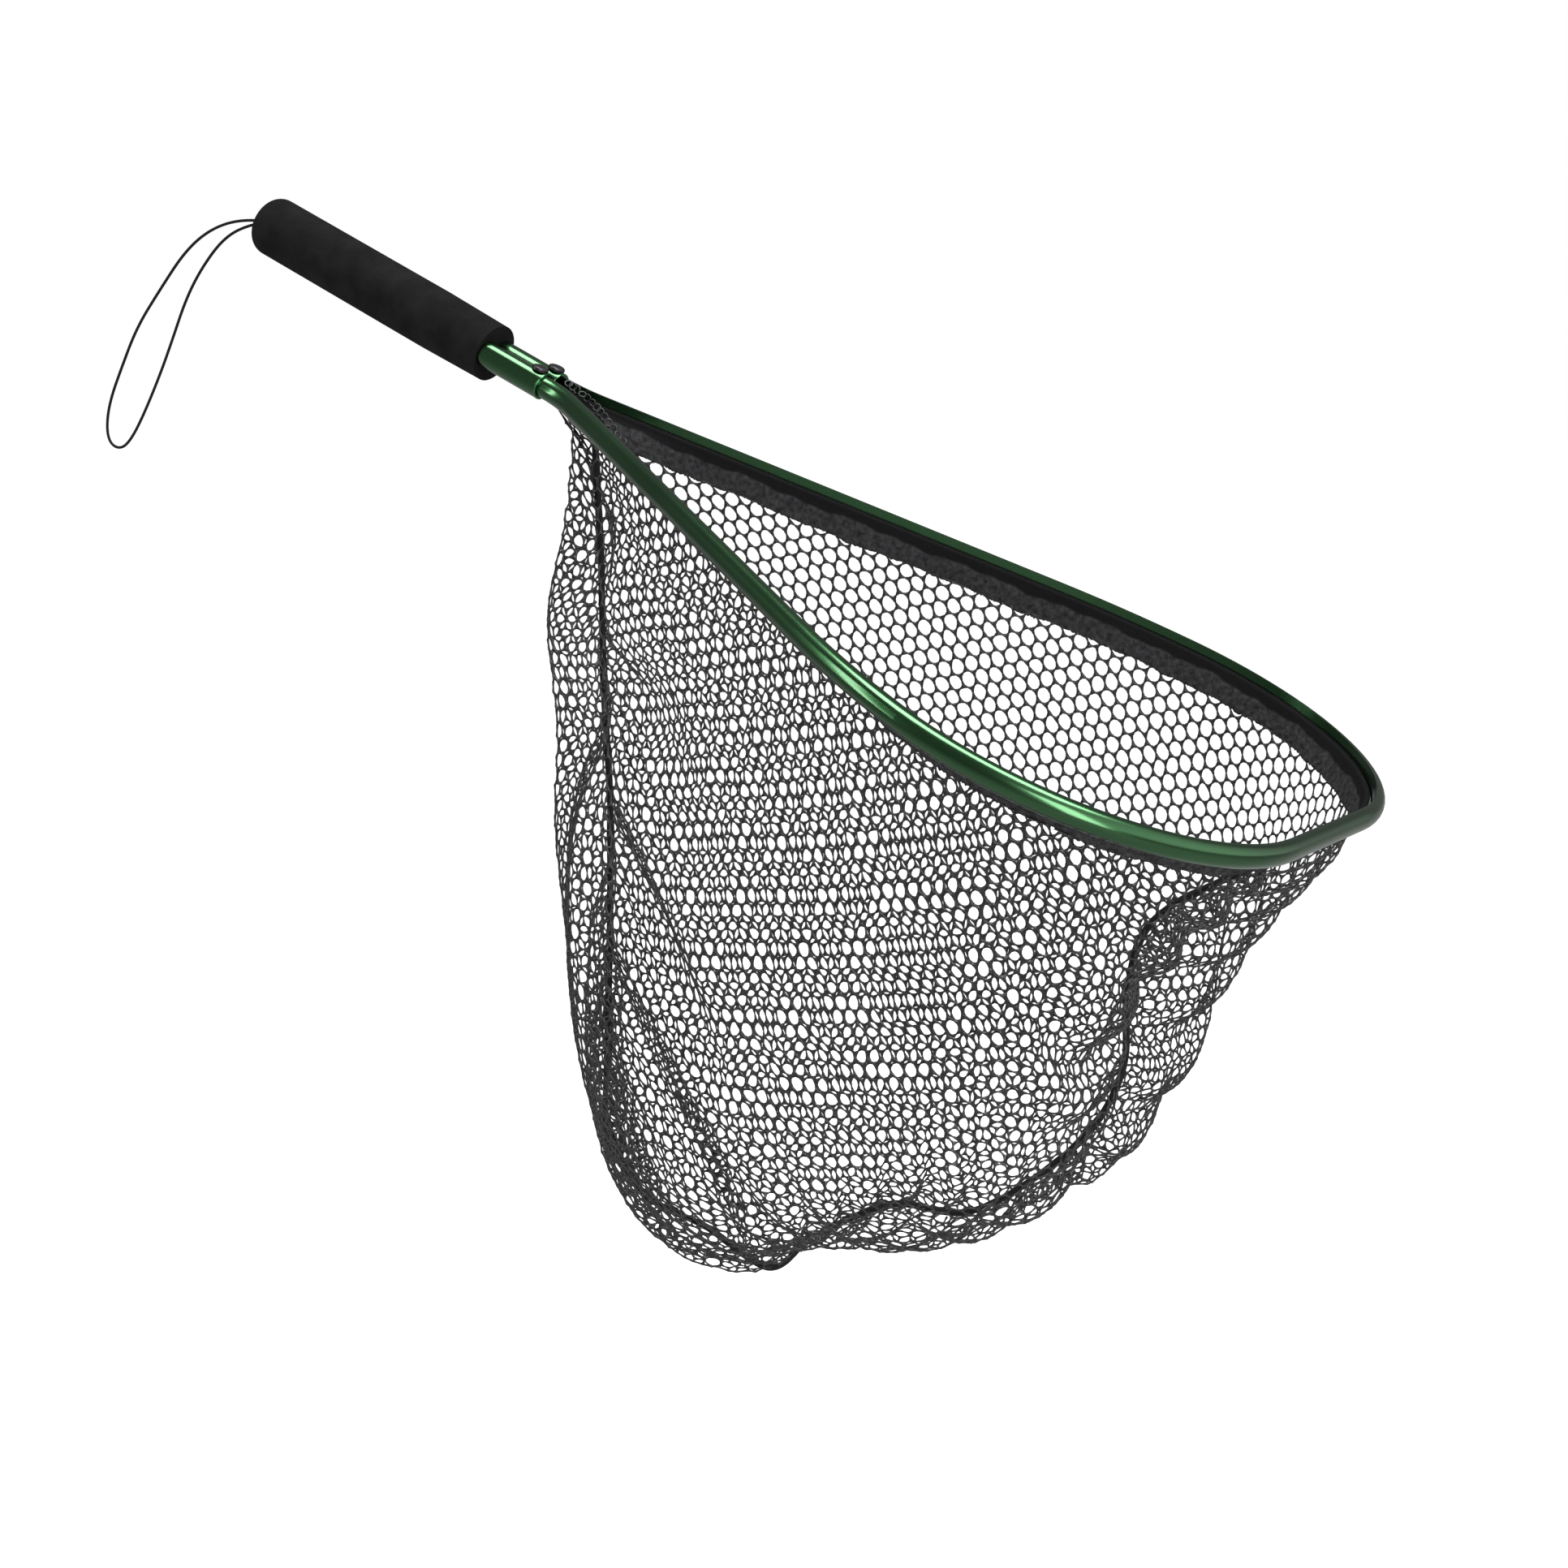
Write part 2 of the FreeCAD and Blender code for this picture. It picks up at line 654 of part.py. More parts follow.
def thin_shell(grid, thick):
    """A closed solid of flat facets: the grid, and the same grid moved out by its normals."""
    wide = len(grid)
    deep = len(grid[0])
    outer = []
    for i in range(wide):
        column = []
        for j in range(deep):
            across = grid[min(i + 1, wide - 1)][j] - grid[max(i - 1, 0)][j]
            down = grid[i][min(j + 1, deep - 1)] - grid[i][max(j - 1, 0)]
            column.append(grid[i][j] + across.cross(down).normalize() * thick)
        outer.append(column)
    faces = []

    def patch(*corners):
        """Two triangles, turning the way that faces them out of the solid."""
        a, b, c, d = corners
        for three in ((a, b, c), (a, c, d)):
            faces.append(Part.Face(Part.makePolygon(list(three) + [a])))

    for i in range(wide - 1):
        for j in range(deep - 1):
            patch(outer[i][j], outer[i + 1][j], outer[i + 1][j + 1], outer[i][j + 1])
            patch(grid[i][j], grid[i][j + 1], grid[i + 1][j + 1], grid[i + 1][j])
    for i in range(wide - 1):
        patch(outer[i + 1][0], outer[i][0], grid[i][0], grid[i + 1][0])
        patch(outer[i][-1], outer[i + 1][-1], grid[i + 1][-1], grid[i][-1])
    for j in range(deep - 1):
        patch(outer[0][j], outer[0][j + 1], grid[0][j + 1], grid[0][j])
        patch(outer[-1][j + 1], outer[-1][j], grid[-1][j], grid[-1][j + 1])
    return Part.Solid(Part.Shell(faces))


def make_bag(runs):
    """Seam binding and the two panels of net that it joins."""
    seam = seam_points()
    make_seam(seam)
    middle_gap = size("seam_width") / 2 + size("seam_gap") + size("net_thick")
    grid = bag_grid(runs, seam, middle_gap, COLUMNS, ROWS)
    panel = thin_shell(grid, size("net_thick"))
    shaped("net_panel_far", panel, FreeCAD.Placement())
    mirrored = panel.mirror(Vector(0, 0, 0), Vector(0, 1, 0))
    shaped("net_panel_near", mirrored, FreeCAD.Placement())


# ------------------------------------------------------- wrist cord
# Route of the wrist cord, as (ahead of the butt, across, above it): out of the butt, down one
# strand, round the bottom and back up the other.  The two end points are tied to the butt.
CORD_MIDDLE = [(-13.5, -2, 2.1), (-33.5, -4, -1.9), (-51.5, -5, -12.9), (-69.5, -6, -32.9),
               (-86.5, -6, -51.9), (-99.5, -5, -72.9), (-110, -4, -90.9),
               (-114.5, -2.5, -104.9), (-113.5, -1, -113.4), (-107, 0.5, -115.9),
               (-100.5, 2, -109.9), (-92.5, 4, -95.9), (-81.5, 5, -75.9), (-73.5, 6, -58.9),
               (-62.5, 6, -36.9), (-49.5, 5, -20.9), (-32.5, 3, -6.9), (-15.5, 2, -0.9)]
CORD_START = 1.2     # cord's ends to the grip's butt
KNOT_ENDS = 0.5      # knot's strand ends to the grip's butt


def rounded_path(route):
    """Straight runs joined by tangent arcs, and the arcs' radii."""
    edges = []
    radii = []
    begin = route[0]
    for before, corner, after in zip(route, route[1:], route[2:]):
        back = before - corner
        ahead = after - corner
        turn = math.pi - back.getAngle(ahead)
        cut_back = 0.45 * min(back.Length, ahead.Length)
        radii.append(cut_back / math.tan(turn / 2))
        one = corner + back.normalize() * cut_back
        two = corner + ahead.normalize() * cut_back
        middle_way = (one + two) * 0.5
        sagitta = radii[-1] * (1 - math.cos(turn / 2))
        top = middle_way + (corner - middle_way).normalize() * sagitta
        edges.append(Part.LineSegment(begin, one).toShape())
        edges.append(Part.Arc(one, top, two).toShape())
        begin = two
    edges.append(Part.LineSegment(begin, route[-1]).toShape())
    return Part.Wire(edges), radii


def tube_along(path, diameter):
    """A round tube along a wire."""
    first = path.OrderedEdges[0]
    start = first.valueAt(first.FirstParameter)
    along = first.tangentAt(first.FirstParameter)
    circle = Part.Wire(Part.makeCircle(diameter / 2, start, along))
    return path.makePipeShell([circle], True, True)


def make_wrist_cord():
    """The loop of wrist cord, and the knot and strand ends that hold it inside the butt."""
    spread = size("cord_spread") / 2
    butt = leaned_point(BUTT_X.value, 0, 0)
    start_x = BUTT_X.value - CORD_START
    ends = [leaned_point(start_x, side * spread, 0) for side in (-1, 1)]
    route = [ends[0]] + [butt + Vector(*point) for point in CORD_MIDDLE] + [ends[1]]
    path, radii = rounded_path(route)
    cord = tube_along(path, size("cord_od"))
    print("wrist cord length", round(path.Length, 1), "volume ratio",
          round(cord.Volume / (path.Length * math.pi * size("cord_od") ** 2 / 4), 4))
    print("wrist cord radii", [round(radius, 1) for radius in radii])
    shaped("wrist_cord", cord, FreeCAD.Placement())
    knot_x = TUBE_BACK.value + size("plug_length") - size("plug_cup_depth") + size("knot_od") / 2
    knot = Part.makeSphere(size("knot_od") / 2, Vector(knot_x, 0, 0))
    for side in (-1, 1):
        begin = Vector(BUTT_X.value - KNOT_ENDS, side * spread, 0)
        reach = knot_x - begin.x
        knot = knot.fuse(Part.makeCylinder(size("cord_od") / 2, reach, begin, Vector(1, 0, 0)))
    shaped("cord_knot", knot.removeSplitter(), LEANED)


# ------------------------------------------------------- build, check and write
hoop_runs = make_hoop()
make_handle()
make_grip()
make_plug()
make_rivets()
make_bag(hoop_runs)
make_wrist_cord()
doc.recompute()

for thing in doc.Objects:
    if "Invalid" in thing.State or "Error" in thing.State:
        raise RuntimeError(f"{thing.Label} failed: {thing.State}")
for node in NODES:
    if node.Shape.isNull() or not node.Shape.isValid() or node.Shape.Volume <= 0:
        raise RuntimeError(f"{node.Label} has no valid shape")

os.makedirs("parts", exist_ok=True)
for node in NODES:
    node.Shape.exportStep(f"parts/{node.Label}.step")
    box = node.Shape.BoundBox
    print(f"{node.Label}: {len(node.Shape.Solids)} solid, {node.Shape.Volume:.0f} mm3,"
          f" x {box.XMin:.1f}..{box.XMax:.1f}, y {box.YMin:.1f}..{box.YMax:.1f},"
          f" z {box.ZMin:.1f}..{box.ZMax:.1f}")
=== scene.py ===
# %% [markdown]
# # A hand landing net
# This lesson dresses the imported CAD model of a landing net. The net hangs from its handle, so the
# handle and the hoop lean down towards the front, and the bag hangs under them.

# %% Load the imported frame
import bpy
import math
import numpy as np
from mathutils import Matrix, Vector


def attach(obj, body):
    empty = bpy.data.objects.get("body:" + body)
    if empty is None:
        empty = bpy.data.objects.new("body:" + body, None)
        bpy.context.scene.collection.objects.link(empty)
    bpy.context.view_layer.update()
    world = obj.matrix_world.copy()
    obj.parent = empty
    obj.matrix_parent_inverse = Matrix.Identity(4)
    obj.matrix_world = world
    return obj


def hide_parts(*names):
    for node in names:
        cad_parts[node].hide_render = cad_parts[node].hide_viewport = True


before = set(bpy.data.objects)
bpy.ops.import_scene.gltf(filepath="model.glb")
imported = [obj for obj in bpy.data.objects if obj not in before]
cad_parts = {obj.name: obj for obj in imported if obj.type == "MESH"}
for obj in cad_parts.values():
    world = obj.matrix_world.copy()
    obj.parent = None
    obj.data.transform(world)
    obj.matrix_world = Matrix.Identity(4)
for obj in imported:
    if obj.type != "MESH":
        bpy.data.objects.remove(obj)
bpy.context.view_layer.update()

MM = 0.001

# %% [markdown]
# The camera stands at the viewer's right, a little above the mouth of the bag, with a long lens.
# It comes first.

# %% Camera
scene = bpy.context.scene
lens = bpy.data.cameras.new("camera")
lens.lens = 62.78
lens.sensor_width = 36.0
camera = bpy.data.objects.new("camera", lens)
scene.collection.objects.link(camera)
camera.location = (0.8775, -1.0791, -0.0354)
AIM = Vector((0.253, -0.032, -0.225))
camera.rotation_euler = (AIM - camera.location).to_track_quat("-Z", "Y").to_euler()
scene.camera = camera
print("camera looks along", tuple(round(c, 3) for c in (AIM - camera.location).normalized()))

# %% [markdown]
# ## Wrist cord
# An elastic cord 1.5 mm thick leaves the butt, hangs in a long loop and goes back in beside
# itself.  A NURBS spline with the designer's route points as control points gives it the soft
# curve of a real cord.  The two strands bow apart and meet at the tight turn at the bottom.

# %% Wrist cord
BUTT = Vector((-0.070465, 0.0, 0.032859))
CORD_END = Vector((-0.071553, 0.001, 0.033366))
CORD_STEPS = [(-13.5, -2, 2.1), (-33.5, -4, -1.9), (-51.5, -5, -12.9), (-69.5, -6, -32.9),
              (-86.5, -6, -51.9), (-99.5, -5, -72.9), (-110, -4, -90.9),
              (-114.5, -2.5, -104.9), (-113.5, -1, -113.4), (-107, 0.5, -115.9),
              (-100.5, 2, -109.9), (-92.5, 4, -95.9), (-81.5, 5, -75.9), (-73.5, 6, -58.9),
              (-62.5, 6, -36.9), (-49.5, 5, -20.9), (-32.5, 3, -6.9), (-15.5, 2, -0.9)]
CORD_OD = 0.0015
cord_start = CORD_END * 1.0
cord_start.y = -CORD_END.y
route = [cord_start] + [BUTT + Vector(step) * MM for step in CORD_STEPS] + [CORD_END]
curve = bpy.data.curves.new("wrist_cord_line", "CURVE")
curve.dimensions = "3D"
spline = curve.splines.new("NURBS")
spline.points.add(len(route) - 1)
for point, place in zip(spline.points, route):
    point.co = (*place, 1.0)
spline.order_u = 3
spline.use_endpoint_u = True
spline.resolution_u = 8
curve.bevel_depth = CORD_OD / 2
curve.bevel_resolution = 4
curve.use_fill_caps = True
wrist_cord = bpy.data.objects.new("cord_loop", curve)
scene.collection.objects.link(wrist_cord)


def to_mesh(piece):
    """Turn a curve into the mesh that it shows."""
    bpy.ops.object.select_all(action="DESELECT")
    piece.select_set(True)
    bpy.context.view_layer.objects.active = piece
    bpy.ops.object.convert(target="MESH")


centre_line = bpy.data.objects.new("cord_centre", curve.copy())
centre_line.data.bevel_depth = 0.0
scene.collection.objects.link(centre_line)
to_mesh(centre_line)
bpy.data.objects.remove(centre_line)
to_mesh(wrist_cord)
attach(wrist_cord, "wrist_loop")
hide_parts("wrist_cord")

# %% [markdown]
# ## The leaning plane and the hoop's line
# Handle, hoop and tape are worked out in a flat plane, x along the handle and z square to the
# hoop, and then leaned by 25 degrees.  The hoop's line is a neck bend, a straight leg, a wide
# shoulder arc, a corner arc and a flat front, mirrored on the far side.

# %% Leaning plane
LEAN = math.radians(25.0)
MOUTH_X = 115.25


def leaned(points):
    """Points of the leaning plane (mm) in the part's own frame (metres)."""
    points = np.asarray(points, dtype=float)
    x, y, z = points[..., 0], points[..., 1], points[..., 2]
    out = np.stack([x * math.cos(LEAN) + z * math.sin(LEAN), y,
                    z * math.cos(LEAN) - x * math.sin(LEAN)], axis=-1)
    return out * MM


# %% [markdown]
# The hoop is one bent tube, so its line is a chain of arcs and straight runs.  It could be
# drawn by hand as a spline, but arcs give the even bends that a bending machine makes.

# %% Hoop line
LEG, AFTER = math.radians(27.6), math.radians(14.1)
NECK_R, SHOULDER_R, FRONT_HALF, REACH, BARREL_Y = 45.0, 300.0, 43.0, 431.6, 6.6
NECK_STRAIGHT = 1.0


def half_hoop(inset, step=1.5):
    """Half of the hoop's line moved inwards, neck to front: points, and directions inwards."""
    side = (BARREL_Y + NECK_R * (1 - math.cos(LEG))
            + SHOULDER_R * (math.cos(AFTER) - math.cos(LEG)) - FRONT_HALF)
    ahead = (REACH - NECK_STRAIGHT - NECK_R * math.sin(LEG)
             - SHOULDER_R * (math.sin(LEG) - math.sin(AFTER)))
    slope = (1 + math.sin(AFTER)) / math.cos(AFTER)
    leg = (ahead - slope * side) / (math.cos(LEG) + slope * math.sin(LEG))
    corner = (side + leg * math.sin(LEG)) / math.cos(AFTER)
    place = np.array([MOUTH_X + NECK_STRAIGHT, BARREL_Y])
    heading = 0.0
    runs = [(NECK_R, LEG), (None, leg), (SHOULDER_R, AFTER - LEG),
            (corner, -(math.pi / 2 + AFTER)), (None, FRONT_HALF)]
    points, inwards = [], []
    for radius, amount in runs:
        length = amount if radius is None else radius * abs(amount)
        count = max(int(length / step), 2)
        for k in range(count + (1 if radius is None and amount == FRONT_HALF else 0)):
            share = k / count
            turned = heading if radius is None else heading + amount * share
            if radius is None:
                here = place + np.array([math.cos(heading), math.sin(heading)]) * length * share
            else:
                bend = math.copysign(radius, amount)
                here = place + bend * np.array([math.sin(turned) - math.sin(heading),
                                                math.cos(heading) - math.cos(turned)])
            inner = np.array([math.sin(turned), -math.cos(turned)])
            points.append(here + inner * inset)
            inwards.append(inner)
        if radius is None:
            place = place + np.array([math.cos(heading), math.sin(heading)]) * length
        else:
            bend = math.copysign(radius, amount)
            after = heading + amount
            place = place + bend * np.array([math.sin(after) - math.sin(heading),
                                             math.cos(heading) - math.cos(after)])
            heading = after
    return np.array(points), np.array(inwards)


def spaced(points, count, start=0.0, others=()):
    """A polyline sampled at even steps, with other rows of numbers sampled the same way."""
    steps = np.linalg.norm(np.diff(points, axis=0), axis=1)
    along = np.concatenate([[0.0], np.cumsum(steps)])
    wanted = np.linspace(start, along[-1], count)
    out = [np.stack([np.interp(wanted, along, rows[:, c]) for c in range(rows.shape[1])], axis=1)
           for rows in (points, *others)]
    return out[0] if not others else out


TAPE_IN = 3.25
TAPE_DROP = 14.0
rim_line, rim_in = half_hoop(TAPE_IN)
RIM_LENGTH = float(np.linalg.norm(np.diff(rim_line, axis=0), axis=1).sum())
print("half of the rim is", round(RIM_LENGTH, 1), "mm along the tape")
# The net pulls the tape inwards: (mm from the neck, degrees) on each side.
TAPE_TILT = {1: [(0, 55), (25, 42), (60, 16), (160, 8), (600, 6)],
             -1: [(0, 62), (60, 58), (230, 56), (330, 36), (450, 24), (600, 8)]}


def tape_tilt(along, side):
    """Inward tilt of the tape, in radians, this far from the neck."""
    places, angles = zip(*TAPE_TILT[side])
    return np.radians(np.interp(along, places, angles))

# %% [markdown]
# ## Seam line
# A narrow binding joins the two panels of net in the middle plane: down the back from the neck,
# along the bottom in waves, where it is longer than the bag, and up the front.

# %% Seam line
SEAM_ROUTE = [(27.5, -81.3), (28.5, -141.3), (31.5, -201.3), (30.5, -261.3), (28.5, -321.3),
              (28.5, -363.3), (49.5, -392.3), (85.5, -403.3), (121.5, -417.3), (145.5, -398.3),
              (187.5, -375.3), (230.5, -371.3), (280.5, -333.3), (302.5, -296.3),
              (304.5, -256.3), (319.5, -223.3)]
BACK_CORNER, FRONT_CORNER = 6, 13
mouth = leaned([MOUTH_X, 0, 0]) / MM
seam_route = np.array([leaned([MOUTH_X + 34.0, 0, -TAPE_DROP]) / MM]
                      + [(mouth[0] + a, 0.0, mouth[2] + u) for a, u in SEAM_ROUTE]
                      + [leaned([MOUTH_X + REACH - TAPE_IN - 6.0, 0, -TAPE_DROP]) / MM])


def through(points, per_run=12):
    """A smooth line through points (Catmull-Rom), per_run places for each run."""
    ends = np.vstack([2 * points[0] - points[1], points, 2 * points[-1] - points[-2]])
    t = np.linspace(0, 1, per_run, endpoint=False)[:, None]
    rows = []
    for a, b, c, d in zip(ends, ends[1:], ends[2:], ends[3:]):
        rows.append(0.5 * (2 * b + (c - a) * t + (2 * a - 5 * b + 4 * c - d) * t ** 2
                           + (3 * b - a - 3 * c + d) * t ** 3))
    return np.vstack(rows + [points[-1:]])


PER_RUN = 12
seam_line = through(seam_route, PER_RUN)
print("seam line is", round(float(np.linalg.norm(np.diff(seam_line, axis=0), axis=1).sum())), "mm")

# %% [markdown]
# ## Hanging net
# Each panel is cut flat: its top edge is as long as half of the rim, it narrows downwards, and
# its side and bottom edges are sewn to the binding.  The flat panel is a grid of points joined by
# threads.  The top and the seam are held, gravity pulls the rest down, and each thread may go
# slack but not stretch.  That is a small cloth simulation, and it gives the cells of the net the
# shear and the folds that hanging gives them.

# %% Flat pattern of one panel
GRID_A, GRID_B = 84, 48
BACK_DEEP, FRONT_DEEP, BELLY_DEEP = 415.0, 225.0, 22.0
BACK_IN, FRONT_IN = 105.0, 130.0
BACK_CURVE, FRONT_CURVE = 1.6, 1.3    # how the side edges bow


def flat_of(p, q):
    """Place on the flat panel, mm, of the shares p along the rim and q of the way down."""
    left = BACK_IN * q ** BACK_CURVE
    right = RIM_LENGTH - FRONT_IN * q ** FRONT_CURVE
    deep = BACK_DEEP * (1 - p) + FRONT_DEEP * p + BELLY_DEEP * 4 * p * (1 - p)
    return left + (right - left) * p, q * deep


def shares_of(a, b):
    """The shares p and q of a place on the flat panel, by a few rounds of correction."""
    p = a / RIM_LENGTH
    q = b / BACK_DEEP
    for _ in range(40):
        deep = BACK_DEEP * (1 - p) + FRONT_DEEP * p + BELLY_DEEP * 4 * p * (1 - p)
        q = np.clip(b / deep, -0.2, 1.3)
        held = np.clip(q, 0.0, 1.3)
        left = BACK_IN * held ** BACK_CURVE
        right = RIM_LENGTH - FRONT_IN * held ** FRONT_CURVE
        p = np.clip((a - left) / (right - left), -0.3, 1.3)
    return p, q


# %% [markdown]
# The panel's top hangs from the hem of the tape, and its other edges are sewn to the binding.
# They are sampled at even steps, because sewing spreads the net evenly.

# %% Edges that are sewn down
SEAM_OFF = 1.4                       # each panel's edge from the middle plane
TAPE_LAP = 0.8                       # the net's overlap with the tape


def held_edges(side):
    """Places of the panel's top, back, bottom and front edges, in mm."""
    rim, inner = spaced(rim_line, GRID_A + 1, 0.0, (rim_in,))
    tilt = tape_tilt(np.linspace(0, RIM_LENGTH, GRID_A + 1), side)
    drop = TAPE_DROP - TAPE_LAP
    hem_xy = rim + inner * (np.sin(tilt) * drop)[:, None]
    top = leaned(np.column_stack([hem_xy, -np.cos(tilt) * drop])) / MM
    back = spaced(seam_line[:BACK_CORNER * PER_RUN + 1], GRID_B + 1)
    bottom = spaced(seam_line[BACK_CORNER * PER_RUN:FRONT_CORNER * PER_RUN + 1], GRID_A + 1)
    front = spaced(seam_line[FRONT_CORNER * PER_RUN:], GRID_B + 1)[::-1]
    for edge in (back, bottom, front):
        edge[:, 1] = SEAM_OFF
    back[0] = top[0]
    front[0] = top[-1]
    for edge in (top, back, bottom, front):
        edge[:, 1] = np.maximum(edge[:, 1], SEAM_OFF) * side
    return top, back, bottom, front


print("grid of", GRID_A, "by", GRID_B, "threads on each side")


# %% [markdown]
# Two sideways pushes shape the bag.  They stand in for the gathers that make its outline wavy at
# the back and full at the front, and they are stronger than the pull of gravity here, so the
# outline is a choice and doesn't come out of the simulation by itself.

# %% Let a panel hang
PULL = 0.016                         # gravity, mm for each step squared
BULGE = 0.55                         # outward share of the pull
DRIFT = 0.97                         # speed kept from step to step
LOBE_Z, LOBE_PUSH, FRONT_PUSH = -157.0, 0.12, 0.04       # the pushes are stronger than PULL
LOBE_APART, LOBE_FADE = 92.0, 90.0   # spacing of the lobes at the back, and their reach
BACK_REACH, FRONT_REACH, FRONT_DOWN = 0.25, 0.22, 0.7    # shares of the panel that are pushed
THREAD, DIAGONAL, BEND = 1.0, 0.35, 0.04                 # stiffness against stretch
THREAD_SLACK, DIAGONAL_SLACK, BEND_SLACK = 0.12, 0.03, 0.04
FIRST_BULGE, SHAKE, CLEAR = 70.0, 0.8, 1.5               # mm
ROUNDS, RELAX = 6, 1.9               # corrections in each step, and their strength
STEPS = 420


def hang(side, seed):
    """Points of one hung panel, as a grid (along the rim, down), in mm."""
    chance = np.random.default_rng(seed)
    top, back, bottom, front = held_edges(side)
    p = np.linspace(0, 1, GRID_A + 1)[:, None, None]
    q = np.linspace(0, 1, GRID_B + 1)[None, :, None]
    x = (top[:, None] * (1 - q) + bottom[:, None] * q + back[None] * (1 - p) + front[None] * p
         - (top[0] * (1 - p) * (1 - q) + top[-1] * p * (1 - q)
            + bottom[0] * (1 - p) * q + bottom[-1] * p * q))
    x[..., 1] += side * FIRST_BULGE * np.sin(np.pi * p[..., 0]) * np.sin(np.pi * q[..., 0])
    free = np.zeros(x.shape[:2], dtype=bool)
    free[1:-1, 1:-1] = True
    x[..., 1] += chance.normal(0, SHAKE, x.shape[:2]) * free
    a, b = flat_of(p[..., 0], q[..., 0])
    flat = np.stack(np.broadcast_arrays(a, b), axis=-1)
    index = np.arange(free.size).reshape(free.shape)
    pairs = [(index[:-1], index[1:], THREAD), (index[:, :-1], index[:, 1:], THREAD),
             (index[:-1, :-1], index[1:, 1:], DIAGONAL),
             (index[1:, :-1], index[:-1, 1:], DIAGONAL),
             (index[:-2], index[2:], BEND), (index[:, :-2], index[:, 2:], BEND)]
    one = np.concatenate([f.ravel() for f, t, s in pairs])
    two = np.concatenate([t.ravel() for f, t, s in pairs])
    stiff = np.concatenate([np.full(f.size, s) for f, t, s in pairs])
    spots = flat.reshape(-1, 2)
    rest = np.linalg.norm(spots[one] - spots[two], axis=1)
    slack_push = np.where(stiff == THREAD, THREAD_SLACK,
                          np.where(stiff == BEND, BEND_SLACK, DIAGONAL_SLACK))
    mass = free.ravel().astype(float)
    share = mass[one] + mass[two]
    share[share == 0] = 1.0
    count = np.zeros(free.size)
    np.add.at(count, one, 1.0)
    np.add.at(count, two, 1.0)
    x = x.reshape(-1, 3)
    before = x.copy()
    pull = np.array([0.0, side * BULGE, -1.0]) * PULL
    near_back = (np.maximum(1 - p / BACK_REACH, 0.0) * np.ones((1, GRID_B + 1, 1))).ravel()
    near_front = (np.maximum(1 - (1 - p) / FRONT_REACH, 0.0)
                  * np.maximum(1 - q / FRONT_DOWN, 0.0)).ravel()
    for step in range(STEPS):
        height = x[:, 2] - LOBE_Z
        lobe = np.cos(2 * np.pi * height / LOBE_APART) * np.exp(-(height / LOBE_FADE) ** 2)
        ahead = x + (x - before) * DRIFT + pull
        ahead[:, 0] += near_front * FRONT_PUSH - near_back * lobe * LOBE_PUSH
        before = x
        x = np.where(mass[:, None] > 0, ahead, x)
        for _ in range(ROUNDS):
            gap = x[two] - x[one]
            length = np.linalg.norm(gap, axis=1)
            over = length - rest
            move = np.where(over > 0, stiff, slack_push) * over / (length * share)
            shift = gap * move[:, None]
            total = np.zeros_like(x)
            for axis in range(3):
                total[:, axis] = (np.bincount(one, shift[:, axis], free.size)
                                  - np.bincount(two, shift[:, axis], free.size))
            x = x + total * mass[:, None] * (RELAX / count)[:, None]
        x[:, 1] = np.where(mass > 0, side * np.maximum(side * x[:, 1], SEAM_OFF + CLEAR), x[:, 1])
    return x.reshape(*free.shape, 3)


panels = {1: hang(1, 3), -1: hang(-1, 8)}
for side, grid in panels.items():
    print("panel", side, "lowest", np.round(grid[..., 2].min(), 1), "widest",
          np.round(np.abs(grid[..., 1]).max(), 1))

# %% [markdown]
# ## Strands of the netting
# The netting is knitted in six-sided cells, in columns, each next column half a cell lower.  Every
# strand is a thread with four faces, thin in the middle and thick where three threads meet, and
# neighbouring strands share their corner points, so each panel is one closed skin.

# %% Places on the hung panel
def on_panel(grid, a, b):
    """Places and normals on the hung panel for places on the flat one."""
    p, q = shares_of(a, b)
    u = np.clip(p, 0, 1) * GRID_A
    v = np.clip(q, 0, 1) * GRID_B
    i = np.minimum(u.astype(int), GRID_A - 1)
    j = np.minimum(v.astype(int), GRID_B - 1)
    s, t = (u - i)[:, None], (v - j)[:, None]

    def mix(rows):
        return (rows[i, j] * (1 - s) * (1 - t) + rows[i + 1, j] * s * (1 - t)
                + rows[i, j + 1] * (1 - s) * t + rows[i + 1, j + 1] * s * t)

    normals = np.cross(np.gradient(grid, axis=0), np.gradient(grid, axis=1))
    normals /= np.linalg.norm(normals, axis=-1, keepdims=True) + 1e-12
    normals = mix(normals)
    normals /= np.linalg.norm(normals, axis=-1, keepdims=True) + 1e-12
    return mix(grid), normals


# %% [markdown]
# Each cell has six corners, and neighbours share theirs.  A small random shift of the corners
# keeps the net from looking printed.

# %% Cells of the netting
CELL_A, CELL_B = 6.5, 7.3


def cells(seed):
    """Corners on the flat panel, and the six corners of each cell in order."""
    chance = np.random.default_rng(seed)
    number, corners, faces = {}, [], []
    for column in range(int(RIM_LENGTH / CELL_A) + 2):
        for row in range(-1, int((BACK_DEEP + BELLY_DEEP) / CELL_B) + 2):
            a = column * CELL_A
            b = (row + 0.5 * (column % 2)) * CELL_B
            p, q = shares_of(np.array([a]), np.array([b]))
            if not (-0.005 < p[0] < 1.005 and -0.02 < q[0] < 1.01):
                continue
            face = []
            for da, db in ((2, 0), (1, 1), (-1, 1), (-2, 0), (-1, -1), (1, -1)):
                key = (3 * column + da, 2 * row + column % 2 + db)
                if key not in number:
                    number[key] = len(corners)
                    corners.append((a + da * CELL_A / 3, b + db * CELL_B / 2))
                face.append(number[key])
            faces.append(face)
    corners = np.array(corners)
    corners += chance.normal(0, 0.22, corners.shape)
    return corners, faces


